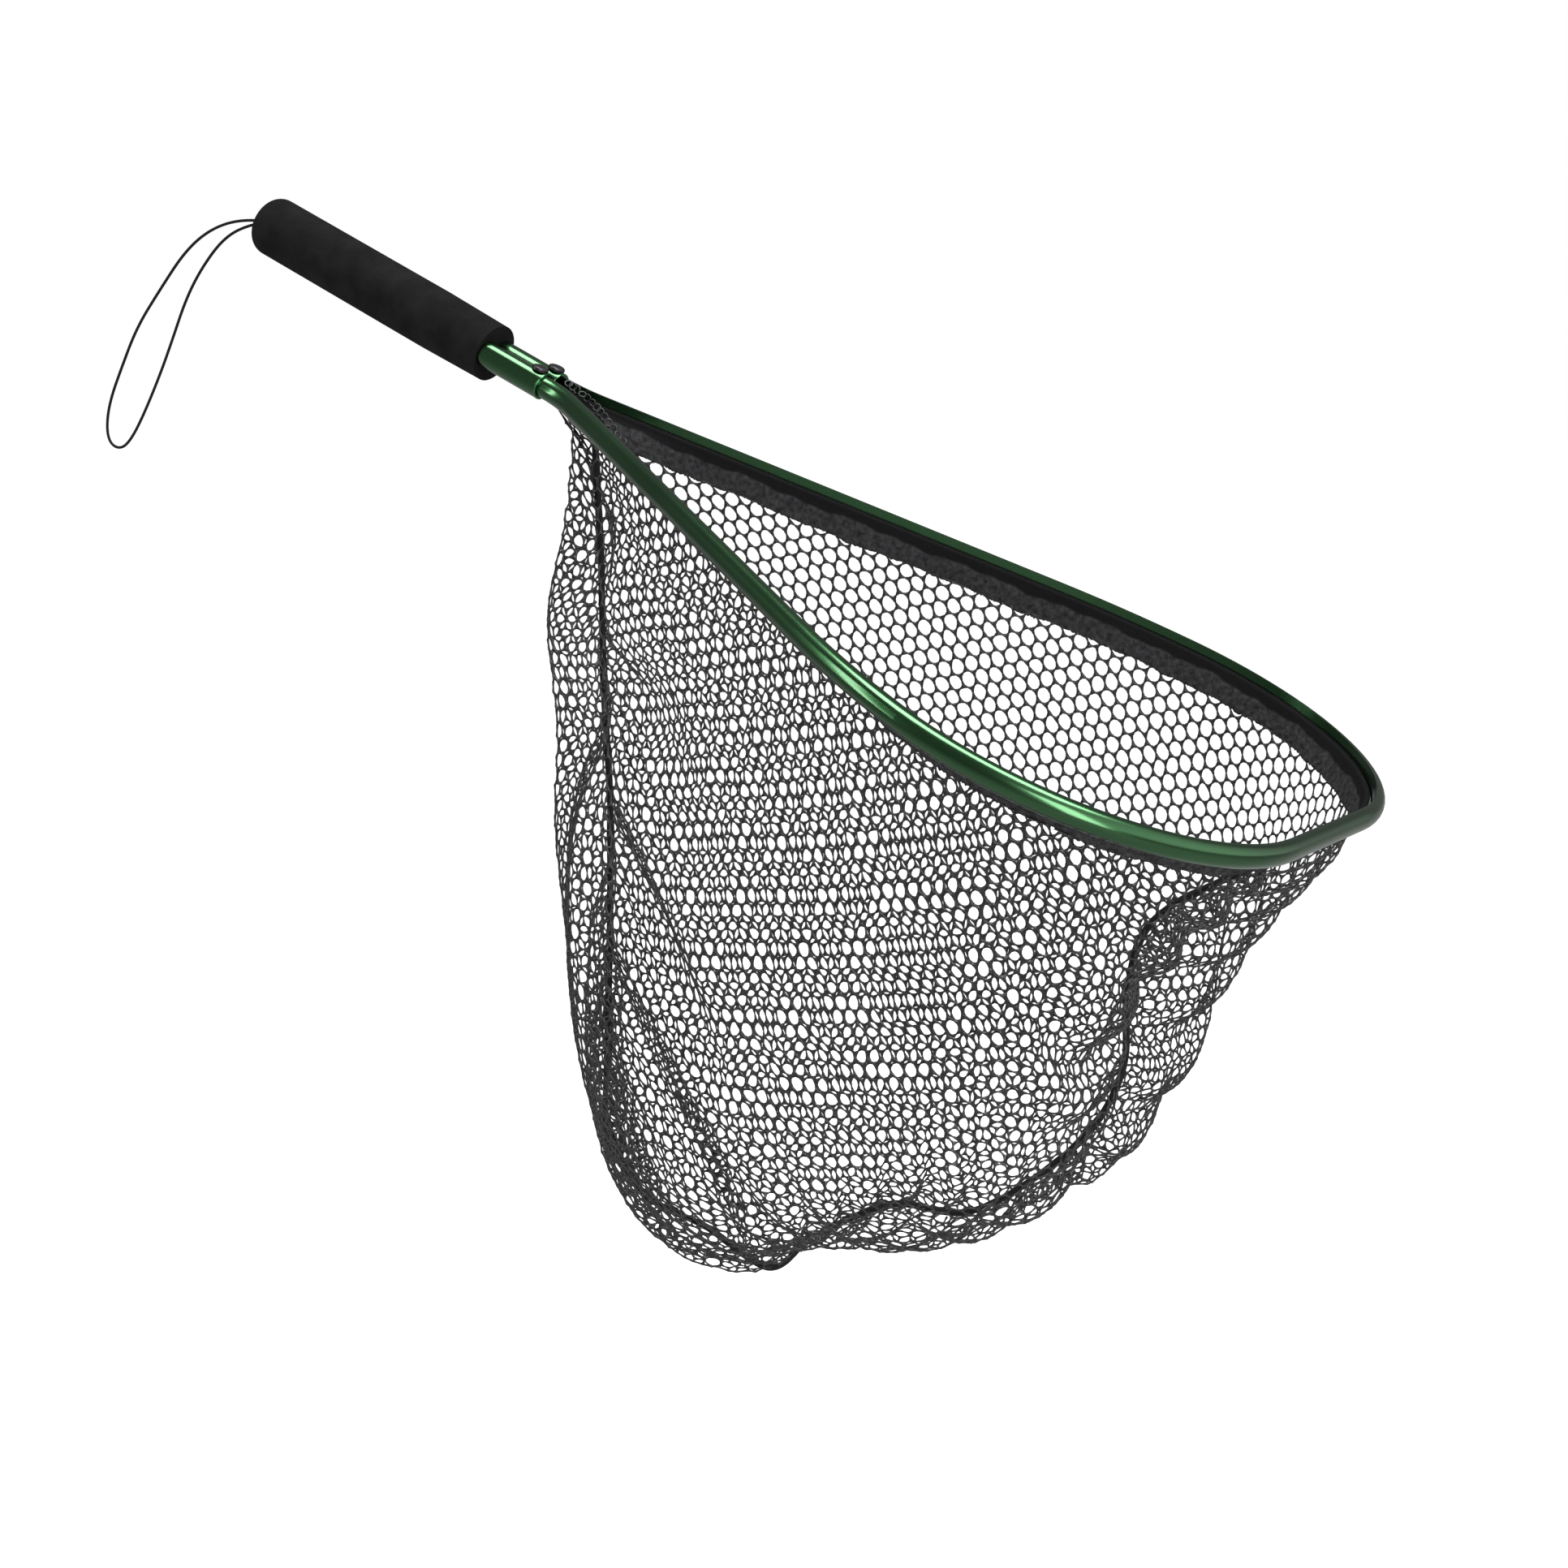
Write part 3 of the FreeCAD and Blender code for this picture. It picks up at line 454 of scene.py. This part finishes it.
# %% [markdown]
# A strand could be a bevelled curve, but thousands of those give open tubes that cross at the
# meetings.  Here every strand has four faces that are joined to its neighbours' corners.

# %% Skin of the strands
STRAND, KNOT = 0.45, 1.08      # half width in the middle, and reach of a meeting's web
THICK, KNOT_THICK = 0.42, 0.6


def unit(rows):
    return rows / (np.linalg.norm(rows, axis=-1, keepdims=True) + 1e-9)


def netting(name, grid, seed):
    """A panel of netting as one closed skin; grid is the hung panel in mm."""
    corners, faces = cells(seed)
    places, normals = on_panel(grid, corners[:, 0], corners[:, 1])
    verts, quads = [], []

    def add(place):
        verts.append(place)
        return len(verts) - 1

    over = [add(p + n * KNOT_THICK) for p, n in zip(places, normals)]
    under = [add(p - n * KNOT_THICK) for p, n in zip(places, normals)]
    sides = {}
    web = {}
    for number, face in enumerate(faces):
        middle = places[face].mean(axis=0)
        for corner in face:
            reach = middle - places[corner]
            far = np.linalg.norm(reach) + 1e-9
            web[number, corner] = add(places[corner] + reach / far * min(KNOT, 0.42 * far))
        for one, two in zip(face, face[1:] + face[:1]):
            sides.setdefault((min(one, two), max(one, two)), []).append((number, one, two))
    ends = {}
    for (low, high), owners in sides.items():
        if len(owners) != 2:
            continue
        along = unit(places[high] - places[low])
        centre = (places[high] + places[low]) / 2
        normal = unit(normals[high] + normals[low])
        crest, keel = add(centre + normal * THICK), add(centre - normal * THICK)
        for number, one, two in owners:
            out = places[faces[number]].mean(axis=0) - centre
            out = out - along * out.dot(along)
            far = np.linalg.norm(out) + 1e-9
            flank = add(centre + out / far * min(STRAND, 0.42 * far))
            quads.append((over[one], crest, flank, web[number, one]))
            quads.append((crest, over[two], web[number, two], flank))
            quads.append((under[one], web[number, one], flank, keel))
            quads.append((keel, flank, web[number, two], under[two]))
        for corner in (low, high):
            ends.setdefault(corner, []).append(owners)
    for corner, strands in ends.items():
        if len(strands) == 1:
            for number, one, two in strands[0]:
                tip = web[number, corner]
                if corner == one:
                    quads.append((over[corner], tip, under[corner]))
                else:
                    quads.append((over[corner], under[corner], tip))
    mesh = bpy.data.meshes.new(name)
    mesh.from_pydata([tuple(v * MM) for v in verts], [], quads)
    mesh.validate()
    mesh.shade_smooth()
    piece = bpy.data.objects.new(name, mesh)
    scene.collection.objects.link(piece)
    return piece


# %% [markdown]
# Cells at the edge leave points that no strand uses.  They are deleted, and the skin is turned
# to face outwards.

# %% Drop loose points and face the skins outwards
def tidy_mesh(piece):
    """Delete points that no face uses, and turn the faces outwards."""
    bpy.ops.object.select_all(action="DESELECT")
    piece.select_set(True)
    bpy.context.view_layer.objects.active = piece
    bpy.ops.object.mode_set(mode="EDIT")
    bpy.ops.mesh.select_all(action="SELECT")
    bpy.ops.mesh.delete_loose(use_verts=True, use_edges=True, use_faces=False)
    bpy.ops.mesh.select_all(action="SELECT")
    bpy.ops.mesh.normals_make_consistent(inside=False)
    bpy.ops.object.mode_set(mode="OBJECT")


net_pieces = []
for side, word in ((-1, "near"), (1, "far")):
    piece = netting(f"netting_{word}", panels[side], 20 + side)
    tidy_mesh(piece)
    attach(piece, "net")
    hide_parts(f"net_panel_{word}")
    net_pieces.append(piece)
    print(piece.name, "has", sum(len(f.vertices) - 2 for f in piece.data.polygons), "triangles")

# %% [markdown]
# ## Tapes
# The rim tape and the seam binding are long strips.  One helper carries a closed outline along a
# line, with a frame of directions at each point.

# %% Sweep helper
def sweep(name, rings, marks=None):
    """A closed tube of quads through rings of points, (count, around, 3), in metres.

    marks, if given, is one number for each point, kept as the attribute "drop".
    """
    count, around, _ = rings.shape
    verts = [tuple(v) for v in rings.reshape(-1, 3)]
    quads = []
    for k in range(count - 1):
        for m in range(around):
            after = (m + 1) % around
            quads.append((k * around + m, k * around + after, (k + 1) * around + after,
                          (k + 1) * around + m))
    quads.append(tuple(range(around - 1, -1, -1)))
    quads.append(tuple((count - 1) * around + m for m in range(around)))
    mesh = bpy.data.meshes.new(name)
    mesh.from_pydata(verts, [], quads)
    if marks is not None:
        mesh.attributes.new("drop", "FLOAT", "POINT").data.foreach_set("value", marks)
    mesh.shade_smooth()
    piece = bpy.data.objects.new(name, mesh)
    scene.collection.objects.link(piece)
    tidy_mesh(piece)
    return piece


def waves(along, seed, lengths, heights):
    """Smooth seeded waves along a line: a few sines of the given lengths and heights."""
    chance = np.random.default_rng(seed)
    total = np.zeros_like(along)
    for length, height in zip(lengths, heights):
        total += height * np.sin(2 * np.pi * along / length + chance.uniform(0, 6.28))
    return total


# %% [markdown]
# The tape is looped pile, woven, and its hem is uneven.  The outline is carried round the whole
# hoop and swings inwards where the net pulls it.  An attribute says how far down each point is.

# %% Rim tape
TAPE_ROWS = 1400
near_half = np.column_stack([rim_line[:, 0], -rim_line[:, 1]])[::-1]
whole_line = np.vstack([rim_line[:-1], near_half])
whole_in = np.vstack([rim_in[:-1], np.column_stack([rim_in[:, 0], -rim_in[:, 1]])[::-1]])
tape_line, tape_in = spaced(whole_line, TAPE_ROWS, 0.0, (whole_in,))
tape_in = tape_in / np.linalg.norm(tape_in, axis=1, keepdims=True)
keep_rows = slice(10, -10)
tape_line, tape_in = tape_line[keep_rows], tape_in[keep_rows]
tape_along = np.arange(len(tape_line)) * (2 * RIM_LENGTH / TAPE_ROWS)
chance = np.random.default_rng(5)
outline = [(-1.4, 0.75), (-0.2, 0.8), (0.5, 0.55), (0.8, -0.2)]
outline += [(0.8 + 0.1 * (k % 2), -z) for k, z in enumerate(np.linspace(1.4, 13.3, 14))]
outline += [(0.5, -14.0), (0.0, -14.35), (-0.5, -14.0)]
outline += [(-0.65 - 0.1 * (k % 2), -z) for k, z in enumerate(np.linspace(13.3, 1.6, 14))]
outline += [(-0.75, -0.8), (-1.4, -0.75)]
outline = np.array(outline)
lean = waves(tape_along, 11, (140, 61, 33), (0.55, 0.35, 0.2))
hem = waves(tape_along, 12, (95, 41, 23, 11), (0.35, 0.3, 0.25, 0.15))
from_neck = np.minimum(tape_along, tape_along[-1] - tape_along)
grown = np.clip(0.35 + from_neck / 30.0, 0.0, 1.0)
first_side = np.where(np.arange(len(tape_line)) < len(tape_line) // 2,
                      tape_tilt(from_neck, 1), tape_tilt(from_neck, -1))
rings = np.zeros((len(tape_line), len(outline), 3))
for m, (inward, up) in enumerate(outline):
    drop = min(max(-up / TAPE_DROP, 0.0), 1.0)
    rough = 0.28 if drop > 0.42 else 0.06
    wobble = chance.normal(0, rough, len(tape_line)) if drop > 0.05 else 0.0
    across = inward + lean * drop + wobble * (1 if inward > 0 else -1)
    fray = chance.normal(0, 0.22, len(tape_line)) if drop > 0.9 else 0
    height = up * (grown if drop > 0.05 else 1.0) + hem * drop ** 2 + fray
    swung = first_side * min(drop * 4, 1.0)
    rings[:, m, :2] = tape_line + tape_in * (across * np.cos(swung) - height * np.sin(swung)
                                             )[:, None]
    rings[:, m, 2] = height * np.cos(swung) + across * np.sin(swung)
drops = np.tile(np.clip(-outline[:, 1] / TAPE_DROP, 0.0, 1.0), len(tape_line))
drops += np.repeat(waves(tape_along, 15, (60, 27, 13), (0.035, 0.03, 0.02)), len(outline))
rim_tape = sweep("rim_webbing", leaned(rings), drops)
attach(rim_tape, "net")
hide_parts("rim_tape")
print("rim tape has", len(rim_tape.data.polygons), "faces")

# %% [markdown]
# The binding is a narrow folded tape.  It twists a little and varies in width as sewn tape does,
# so its rounded outline is turned by slow waves along the seam.

# %% Seam binding
SEAM_ROWS, SEAM_ROUND = 700, 16
SIDEWAYS = np.array([0.0, 1.0, 0.0])
seam_even = spaced(seam_line, SEAM_ROWS)
seam_along = np.arange(SEAM_ROWS) * float(
    np.linalg.norm(np.diff(seam_even, axis=0), axis=1).mean())
ahead = unit(np.gradient(seam_even, axis=0))
square = np.column_stack([-ahead[:, 2], np.zeros(SEAM_ROWS), ahead[:, 0]])
turn = waves(seam_along, 31, (83, 47, 29), (0.35, 0.25, 0.15))
wide = 1.75 + waves(seam_along, 32, (37, 19, 9), (0.12, 0.1, 0.06))
flat_dir = unit(square * np.sin(turn)[:, None] + SIDEWAYS * np.cos(turn)[:, None])
thin_dir = unit(np.cross(ahead, flat_dir))
rings = np.zeros((SEAM_ROWS, SEAM_ROUND, 3))
for m in range(SEAM_ROUND):
    angle = 2 * math.pi * m / SEAM_ROUND
    across = np.sign(math.cos(angle)) * abs(math.cos(angle)) ** 0.7 * wide
    thick = np.sign(math.sin(angle)) * abs(math.sin(angle)) ** 0.8 * 1.5
    rings[:, m] = seam_even + flat_dir * across[:, None] + thin_dir * thick
seam_strip = sweep("seam_strap", rings * MM)
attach(seam_strip, "net")
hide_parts("seam_binding")
print("seam strap is", round(float(seam_along[-1])), "mm long")

# %% [markdown]
# ## Small pieces at the neck
# Each barrel's mouth has a rolled lip, a thin ring round the end of the tube.  A short chain of
# net loops is tied across the tape where the two halves of the rim come together.

# %% Rolled lips of the barrels
def torus(name, place, turn, major, minor):
    """A ring at a place of the leaning plane (mm)."""
    bpy.ops.object.select_all(action="DESELECT")
    bpy.ops.mesh.primitive_torus_add(location=tuple(leaned(place)), rotation=turn,
                                     major_radius=major * MM, minor_radius=minor * MM,
                                     major_segments=32, minor_segments=10)
    bpy.ops.object.transform_apply(location=True, rotation=True, scale=True)
    made = bpy.context.object
    made.name = name
    made.data.shade_smooth()
    return made


def joined(name, made):
    """Several pieces as one."""
    bpy.ops.object.select_all(action="DESELECT")
    for piece in made:
        piece.select_set(True)
    bpy.context.view_layer.objects.active = made[0]
    bpy.ops.object.join()
    made[0].name = name
    return made[0]


along_handle = (0.0, math.pi / 2 + LEAN, 0.0)
mouth_lips = joined("mouth_lips", [
    torus("lip", (MOUTH_X - 0.5, side * BARREL_Y, 0.0), along_handle, 6.1, 0.55)
    for side in (-1, 1)])
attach(mouth_lips, "net")
print("lips have", len(mouth_lips.data.polygons), "faces")

# %% [markdown]
# The loops follow each other like a crocheted chain, each one turned a little differently.

# %% Chain of loops over the tape
LOOPS = [(5.5, 4.4, 4.3), (8.5, 4.0, 4.2), (11.5, 3.9, 3.8), (15.0, 4.2, 3.2), (18.0, 4.4, 2.6),
         (21.5, 4.7, 1.8), (24.5, 5.1, 0.8), (27.0, 5.4, -0.4), (30.0, 5.6, -1.6),
         (33.0, 5.8, -3.0), (36.5, 6.0, -4.6), (40.0, 6.4, -6.3), (43.5, 6.8, -8.0)]
chance = np.random.default_rng(41)
rings_made = []
for ahead_mm, across_mm, up_mm in LOOPS:
    turn = tuple(np.array([1.2, 0.3, 0.4]) + chance.normal(0, 0.35, 3))
    place = (MOUTH_X + ahead_mm, across_mm, up_mm)
    rings_made.append(torus("loop", place, turn, 1.75, 0.36))
neck_loops = joined("neck_loops", rings_made)
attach(neck_loops, "net")
print("chain has", len(LOOPS), "loops")

# %% [markdown]
# ## Finishes
# Small shader groups give the marks that several finishes share: a fine grain for bumps, and soft
# patches for colour and gloss.  Each finish puts them into its own Principled shader.

# %% Helpers for node trees
def new_group(name, inputs, outputs):
    """An empty shader group with named sockets."""
    group = bpy.data.node_groups.new(name, "ShaderNodeTree")
    for label, kind, value in inputs:
        socket = group.interface.new_socket(label, in_out="INPUT", socket_type=kind)
        socket.default_value = value
    for label, kind in outputs:
        group.interface.new_socket(label, in_out="OUTPUT", socket_type=kind)
    return group, group.nodes.new("NodeGroupInput"), group.nodes.new("NodeGroupOutput")


def node(tree, kind, links=None, **values):
    """A node with its properties set and its inputs linked or valued."""
    made = tree.nodes.new(kind)
    for key, value in values.items():
        setattr(made, key, value)
    for key, value in (links or {}).items():
        if isinstance(value, bpy.types.NodeSocket):
            tree.links.new(value, made.inputs[key])
        else:
            made.inputs[key].default_value = value
    return made


# %% [markdown]
# One group gives a fine grain and broad patches to every finish, each with its own scales.

# %% Grain group
grain, grain_in, grain_out = new_group(
    "grain", [("Vector", "NodeSocketVector", (0, 0, 0)), ("Scale", "NodeSocketFloat", 900.0),
              ("Patch Scale", "NodeSocketFloat", 40.0)],
    [("Height", "NodeSocketFloat"), ("Patches", "NodeSocketFloat")])
fine = node(grain, "ShaderNodeTexNoise", {"Vector": grain_in.outputs["Vector"],
                                          "Scale": grain_in.outputs["Scale"], "Detail": 4.0})
broad = node(grain, "ShaderNodeTexNoise", {"Vector": grain_in.outputs["Vector"],
                                           "Scale": grain_in.outputs["Patch Scale"],
                                           "Detail": 3.0})
grain.links.new(fine.outputs["Fac"], grain_out.inputs["Height"])
grain.links.new(broad.outputs["Fac"], grain_out.inputs["Patches"])


# %% [markdown]
# The helper makes the material and places the group.  Even colours and gloss are set on the
# shader's own sockets, and only what changes over the surface is linked.

# %% Finish helper
def finish(name, color, rough, metallic=0.0, **sockets):
    """A material with its Principled shader, an Object coordinate and a grain group."""
    made = bpy.data.materials.new(name)
    made.use_nodes = True
    tree = made.node_tree
    shader = tree.nodes["Principled BSDF"]
    shader.inputs["Base Color"].default_value = (*color, 1.0)
    shader.inputs["Roughness"].default_value = rough
    shader.inputs["Metallic"].default_value = metallic
    for key, value in sockets.items():
        shader.inputs[key.replace("_", " ")].default_value = value
    where = tree.nodes.new("ShaderNodeTexCoord")
    marks = tree.nodes.new("ShaderNodeGroup")
    marks.node_tree = grain
    tree.links.new(where.outputs["Object"], marks.inputs["Vector"])
    return made, tree, shader, marks


def bumped(tree, shader, height, strength, distance):
    """Feed a height to the shader's normal."""
    bump = node(tree, "ShaderNodeBump", {"Height": height, "Strength": strength,
                                         "Distance": distance})
    tree.links.new(bump.outputs["Normal"], shader.inputs["Normal"])


def ramp(tree, fac, stops):
    """A colour ramp over a value."""
    made = node(tree, "ShaderNodeValToRGB", {"Fac": fac})
    while len(made.color_ramp.elements) < len(stops):
        made.color_ramp.elements.new(0.5)
    for element, (place, color) in zip(made.color_ramp.elements, stops):
        element.position = place
        element.color = (*color, 1.0)
    return made.outputs["Color"]


def level(tree, fac, low, high):
    """A value spread from low to high."""
    made = node(tree, "ShaderNodeMapRange", {"Value": fac, "From Min": 0.3, "From Max": 0.7,
                                             "To Min": low, "To Max": high})
    return made.outputs["Result"]


# %% [markdown]
# Anodised aluminium is a metal under a thin clear layer, so it has a coat and a low roughness.

# %% Green anodised tube
anodised, tree, shader, marks = finish("green_anodised", (0.02, 0.16, 0.05), 0.2, 1.0,
                                       Coat_Weight=0.6, Coat_Roughness=0.12)
marks.inputs["Scale"].default_value = 1500.0
marks.inputs["Patch Scale"].default_value = 9.0
tree.links.new(ramp(tree, marks.outputs["Patches"], [(0.35, (0.033, 0.115, 0.040)),
                                                     (0.65, (0.045, 0.145, 0.055))]),
               shader.inputs["Base Color"])
tree.links.new(level(tree, marks.outputs["Patches"], 0.19, 0.25), shader.inputs["Roughness"])
bumped(tree, shader, marks.outputs["Height"], 0.006, 0.0001)

# %% [markdown]
# The rolled edge has a paler green than the tube and no coat; the paler green is partly wear and
# partly a painted highlight, the bright line of an edge that catches light.

# %% Lip of the barrels, worn and with a painted highlight
# Paler green: partly wear, partly a painted highlight along the edge.
lip_wear_and_highlight, tree, shader, marks = finish("lip_wear_and_painted_highlight", (0.10, 0.32, 0.13), 0.16, 1.0)
marks.inputs["Scale"].default_value = 1500.0
tree.links.new(level(tree, marks.outputs["Height"], 0.12, 0.22), shader.inputs["Roughness"])

# %% [markdown]
# Foam is nearly black and matt, with fine pores that show as a bump.

# %% Closed-cell foam
foam, tree, shader, marks = finish("closed_cell_foam", (0.006, 0.006, 0.006), 0.85,
                                   Specular_IOR_Level=0.08)
marks.inputs["Scale"].default_value = 1100.0
marks.inputs["Patch Scale"].default_value = 70.0
tree.links.new(ramp(tree, marks.outputs["Patches"], [(0.35, (0.0035, 0.0035, 0.0037)),
                                                     (0.7, (0.007, 0.007, 0.0072))]),
               shader.inputs["Base Color"])
tree.links.new(level(tree, marks.outputs["Height"], 0.72, 0.92), shader.inputs["Roughness"])
bumped(tree, shader, marks.outputs["Height"], 0.5, 0.0004)

# %% [markdown]
# Small parts get plain finishes.  The cord's braid is a fine bump.

# %% Rivet metal, plug plastic and elastic cord
rivet_metal, tree, shader, marks = finish("dark_rivet_metal", (0.06, 0.055, 0.06),
                                          0.38, 1.0)
marks.inputs["Scale"].default_value = 2500.0
tree.links.new(level(tree, marks.outputs["Height"], 0.3, 0.5), shader.inputs["Roughness"])
bumped(tree, shader, marks.outputs["Height"], 0.15, 0.0002)
plug, tree, shader, marks = finish("plug_plastic", (0.01, 0.01, 0.01), 0.5)
tree.links.new(level(tree, marks.outputs["Height"], 0.4, 0.6), shader.inputs["Roughness"])
elastic, tree, shader, marks = finish("elastic_braid", (0.004, 0.004, 0.004), 0.7,
                                      Specular_IOR_Level=0.2)
marks.inputs["Scale"].default_value = 2200.0
tree.links.new(level(tree, marks.outputs["Height"], 0.5, 0.75), shader.inputs["Roughness"])
bumped(tree, shader, marks.outputs["Height"], 0.6, 0.0003)

# %% [markdown]
# The net is dipped in rubber and shines a little.  The tape's lower part is rougher and paler
# than the band at the hoop, and the drop attribute says where one becomes the other.  The band's
# near-black colour is partly its own and partly painted shade, where the tube shades the tape.

# %% Net, tape, rope and binding
coated, tree, shader, marks = finish("coated_net", (0.012, 0.012, 0.013), 0.36,
                                     Coat_Weight=0.25, Coat_Roughness=0.2)
marks.inputs["Scale"].default_value = 1800.0
marks.inputs["Patch Scale"].default_value = 30.0
tree.links.new(ramp(tree, marks.outputs["Patches"], [(0.35, (0.006, 0.006, 0.0065)),
                                                     (0.7, (0.013, 0.013, 0.0145))]),
               shader.inputs["Base Color"])
tree.links.new(level(tree, marks.outputs["Height"], 0.28, 0.5), shader.inputs["Roughness"])
bumped(tree, shader, marks.outputs["Height"], 0.3, 0.0003)
webbing, tree, shader, marks = finish("looped_webbing", (0.02, 0.02, 0.021), 0.9,
                                      Specular_IOR_Level=0.1)
marks.inputs["Scale"].default_value = 1300.0
marks.inputs["Patch Scale"].default_value = 420.0
loops = ramp(tree, marks.outputs["Patches"], [(0.3, (0.010, 0.010, 0.0105)),
                                              (0.72, (0.034, 0.034, 0.036))])
drop = node(tree, "ShaderNodeAttribute", attribute_name="drop")
lower = node(tree, "ShaderNodeMapRange", {"Value": drop.outputs["Fac"], "From Min": 0.28,
                                          "From Max": 0.36})
zones = node(tree, "ShaderNodeMix", data_type="RGBA")
# The near-black colour of the band at the hoop is partly painted shade under the tube.
zones.inputs[6].default_value = (0.004, 0.004, 0.0045, 1.0)
tree.links.new(lower.outputs["Result"], zones.inputs[0])
tree.links.new(loops, zones.inputs[7])
tree.links.new(zones.outputs[2], shader.inputs["Base Color"])
bumped(tree, shader, marks.outputs["Height"], 0.9, 0.0006)
binding, tree, shader, marks = finish("binding_weave", (0.01, 0.01, 0.011), 0.85,
                                       Specular_IOR_Level=0.1)
marks.inputs["Scale"].default_value = 1500.0
bumped(tree, shader, marks.outputs["Height"], 0.8, 0.0004)
rope, tree, shader, marks = finish("rope_fibre", (0.02, 0.02, 0.02), 0.85)
bumped(tree, shader, marks.outputs["Height"], 0.6, 0.0004)

# %% [markdown]
# The CAD nodes and the new pieces take their finishes by name.

# %% Give each piece its finish
FINISHES = {"hoop_channel": anodised, "handle_tube": anodised, "foam_grip": foam,
            "rivet_near": rivet_metal, "rivet_far": rivet_metal, "butt_plug": plug,
            "cord_knot": elastic, "tape_rope": rope}
for label, made in FINISHES.items():
    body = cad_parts[label]
    body.data.materials.clear()
    body.data.materials.append(made)
for piece, made in ((wrist_cord, elastic), (net_pieces[0], coated), (net_pieces[1], coated),
                    (rim_tape, webbing), (seam_strip, binding), (mouth_lips, lip_wear_and_highlight),
                    (neck_loops, coated)):
    piece.data.materials.clear()
    piece.data.materials.append(made)

# %% [markdown]
# ## Floor and light
# A plain pale floor lies well below the bag.  The light is a studio's: a large soft box overhead
# that does most of the work, a weak narrow one on the left and a weak one from the front.

# %% Floor
bpy.ops.mesh.primitive_plane_add(size=60.0, location=(0.0, 0.0, -0.95))
floor = bpy.context.object
floor.name = "floor"
floor_finish = bpy.data.materials.new("floor_pale")
floor_finish.use_nodes = True
floor_shader = floor_finish.node_tree.nodes["Principled BSDF"]
floor_shader.inputs["Base Color"].default_value = (0.97, 0.97, 0.97, 1.0)
floor_shader.inputs["Roughness"].default_value = 0.95
floor_shader.inputs["Emission Color"].default_value = (1.0, 1.0, 1.0, 1.0)
tree = floor_finish.node_tree
seen = tree.nodes.new("ShaderNodeLightPath")
shown = node(tree, "ShaderNodeMapRange", {"Value": seen.outputs["Is Glossy Ray"],
                                          "To Min": 0.97, "To Max": 0.24})
glow = node(tree, "ShaderNodeMapRange", {"Value": seen.outputs["Is Glossy Ray"],
                                         "To Min": 0.12, "To Max": 0.0})
tree.links.new(shown.outputs["Result"], floor_shader.inputs["Base Color"])
tree.links.new(glow.outputs["Result"], floor_shader.inputs["Emission Strength"])
floor.data.materials.append(floor_finish)

# %% [markdown]
# The sky is white to the camera, dimmer to glossy rays, and paler to them towards the front.
# The tube then shows dark sides with a bright front, as polished tube does.

# %% Sky
world = bpy.data.worlds.new("studio")
scene.world = world
world.use_nodes = True
tree = world.node_tree
sky = tree.nodes["Background"]
seen = tree.nodes.new("ShaderNodeLightPath")
bright = node(tree, "ShaderNodeMapRange", {"Value": seen.outputs["Is Glossy Ray"],
                                           "From Min": 0.0, "From Max": 1.0,
                                           "To Min": 1.0, "To Max": 0.13})
where = tree.nodes.new("ShaderNodeTexCoord")
ways = node(tree, "ShaderNodeSeparateXYZ", {"Vector": where.outputs["Generated"]})
pale = node(tree, "ShaderNodeMapRange", {"Value": ways.outputs["X"], "From Min": 0.25,
                                         "From Max": 0.9, "To Min": 0.15, "To Max": 1.2})
tree.links.new(pale.outputs["Result"], bright.inputs["To Max"])
sky.inputs["Color"].default_value = (1.0, 1.0, 1.0, 1.0)
tree.links.new(bright.outputs["Result"], sky.inputs["Strength"])


# %% [markdown]
# A soft box is an area light that faces a target.  Its width sets how broad a highlight is.

# %% Soft boxes
def soft_box(name, place, target, width, height, power):
    """A rectangular area light that faces a target."""
    light = bpy.data.lights.new(name, "AREA")
    light.shape = "RECTANGLE"
    light.size, light.size_y = width, height
    light.energy = power
    lamp = bpy.data.objects.new(name, light)
    lamp.location = place
    lamp.rotation_euler = (Vector(target) - Vector(place)).to_track_quat("-Z", "Y").to_euler()
    scene.collection.objects.link(lamp)
    return lamp


soft_box("overhead", (0.8, 0.1, 1.9), (0.8, 0.0, -0.2), 2.2, 0.9, 64.0)
soft_box("left_strip", (-1.3, -1.2, 0.9), (0.25, 0.0, -0.2), 0.3, 1.6, 12.0)
soft_box("front_fill", (1.7, -1.5, 0.15), (0.3, 0.0, -0.2), 0.7, 1.6, 22.0)
scene.view_settings.view_transform = "Standard"

# %% [markdown]
# ## Update
# The view layer is brought up to date at the end. The dressed model has to stay inside the CAD
# model's box, apart from the little that cloth may stand proud.

# %% Update
bpy.context.view_layer.update()
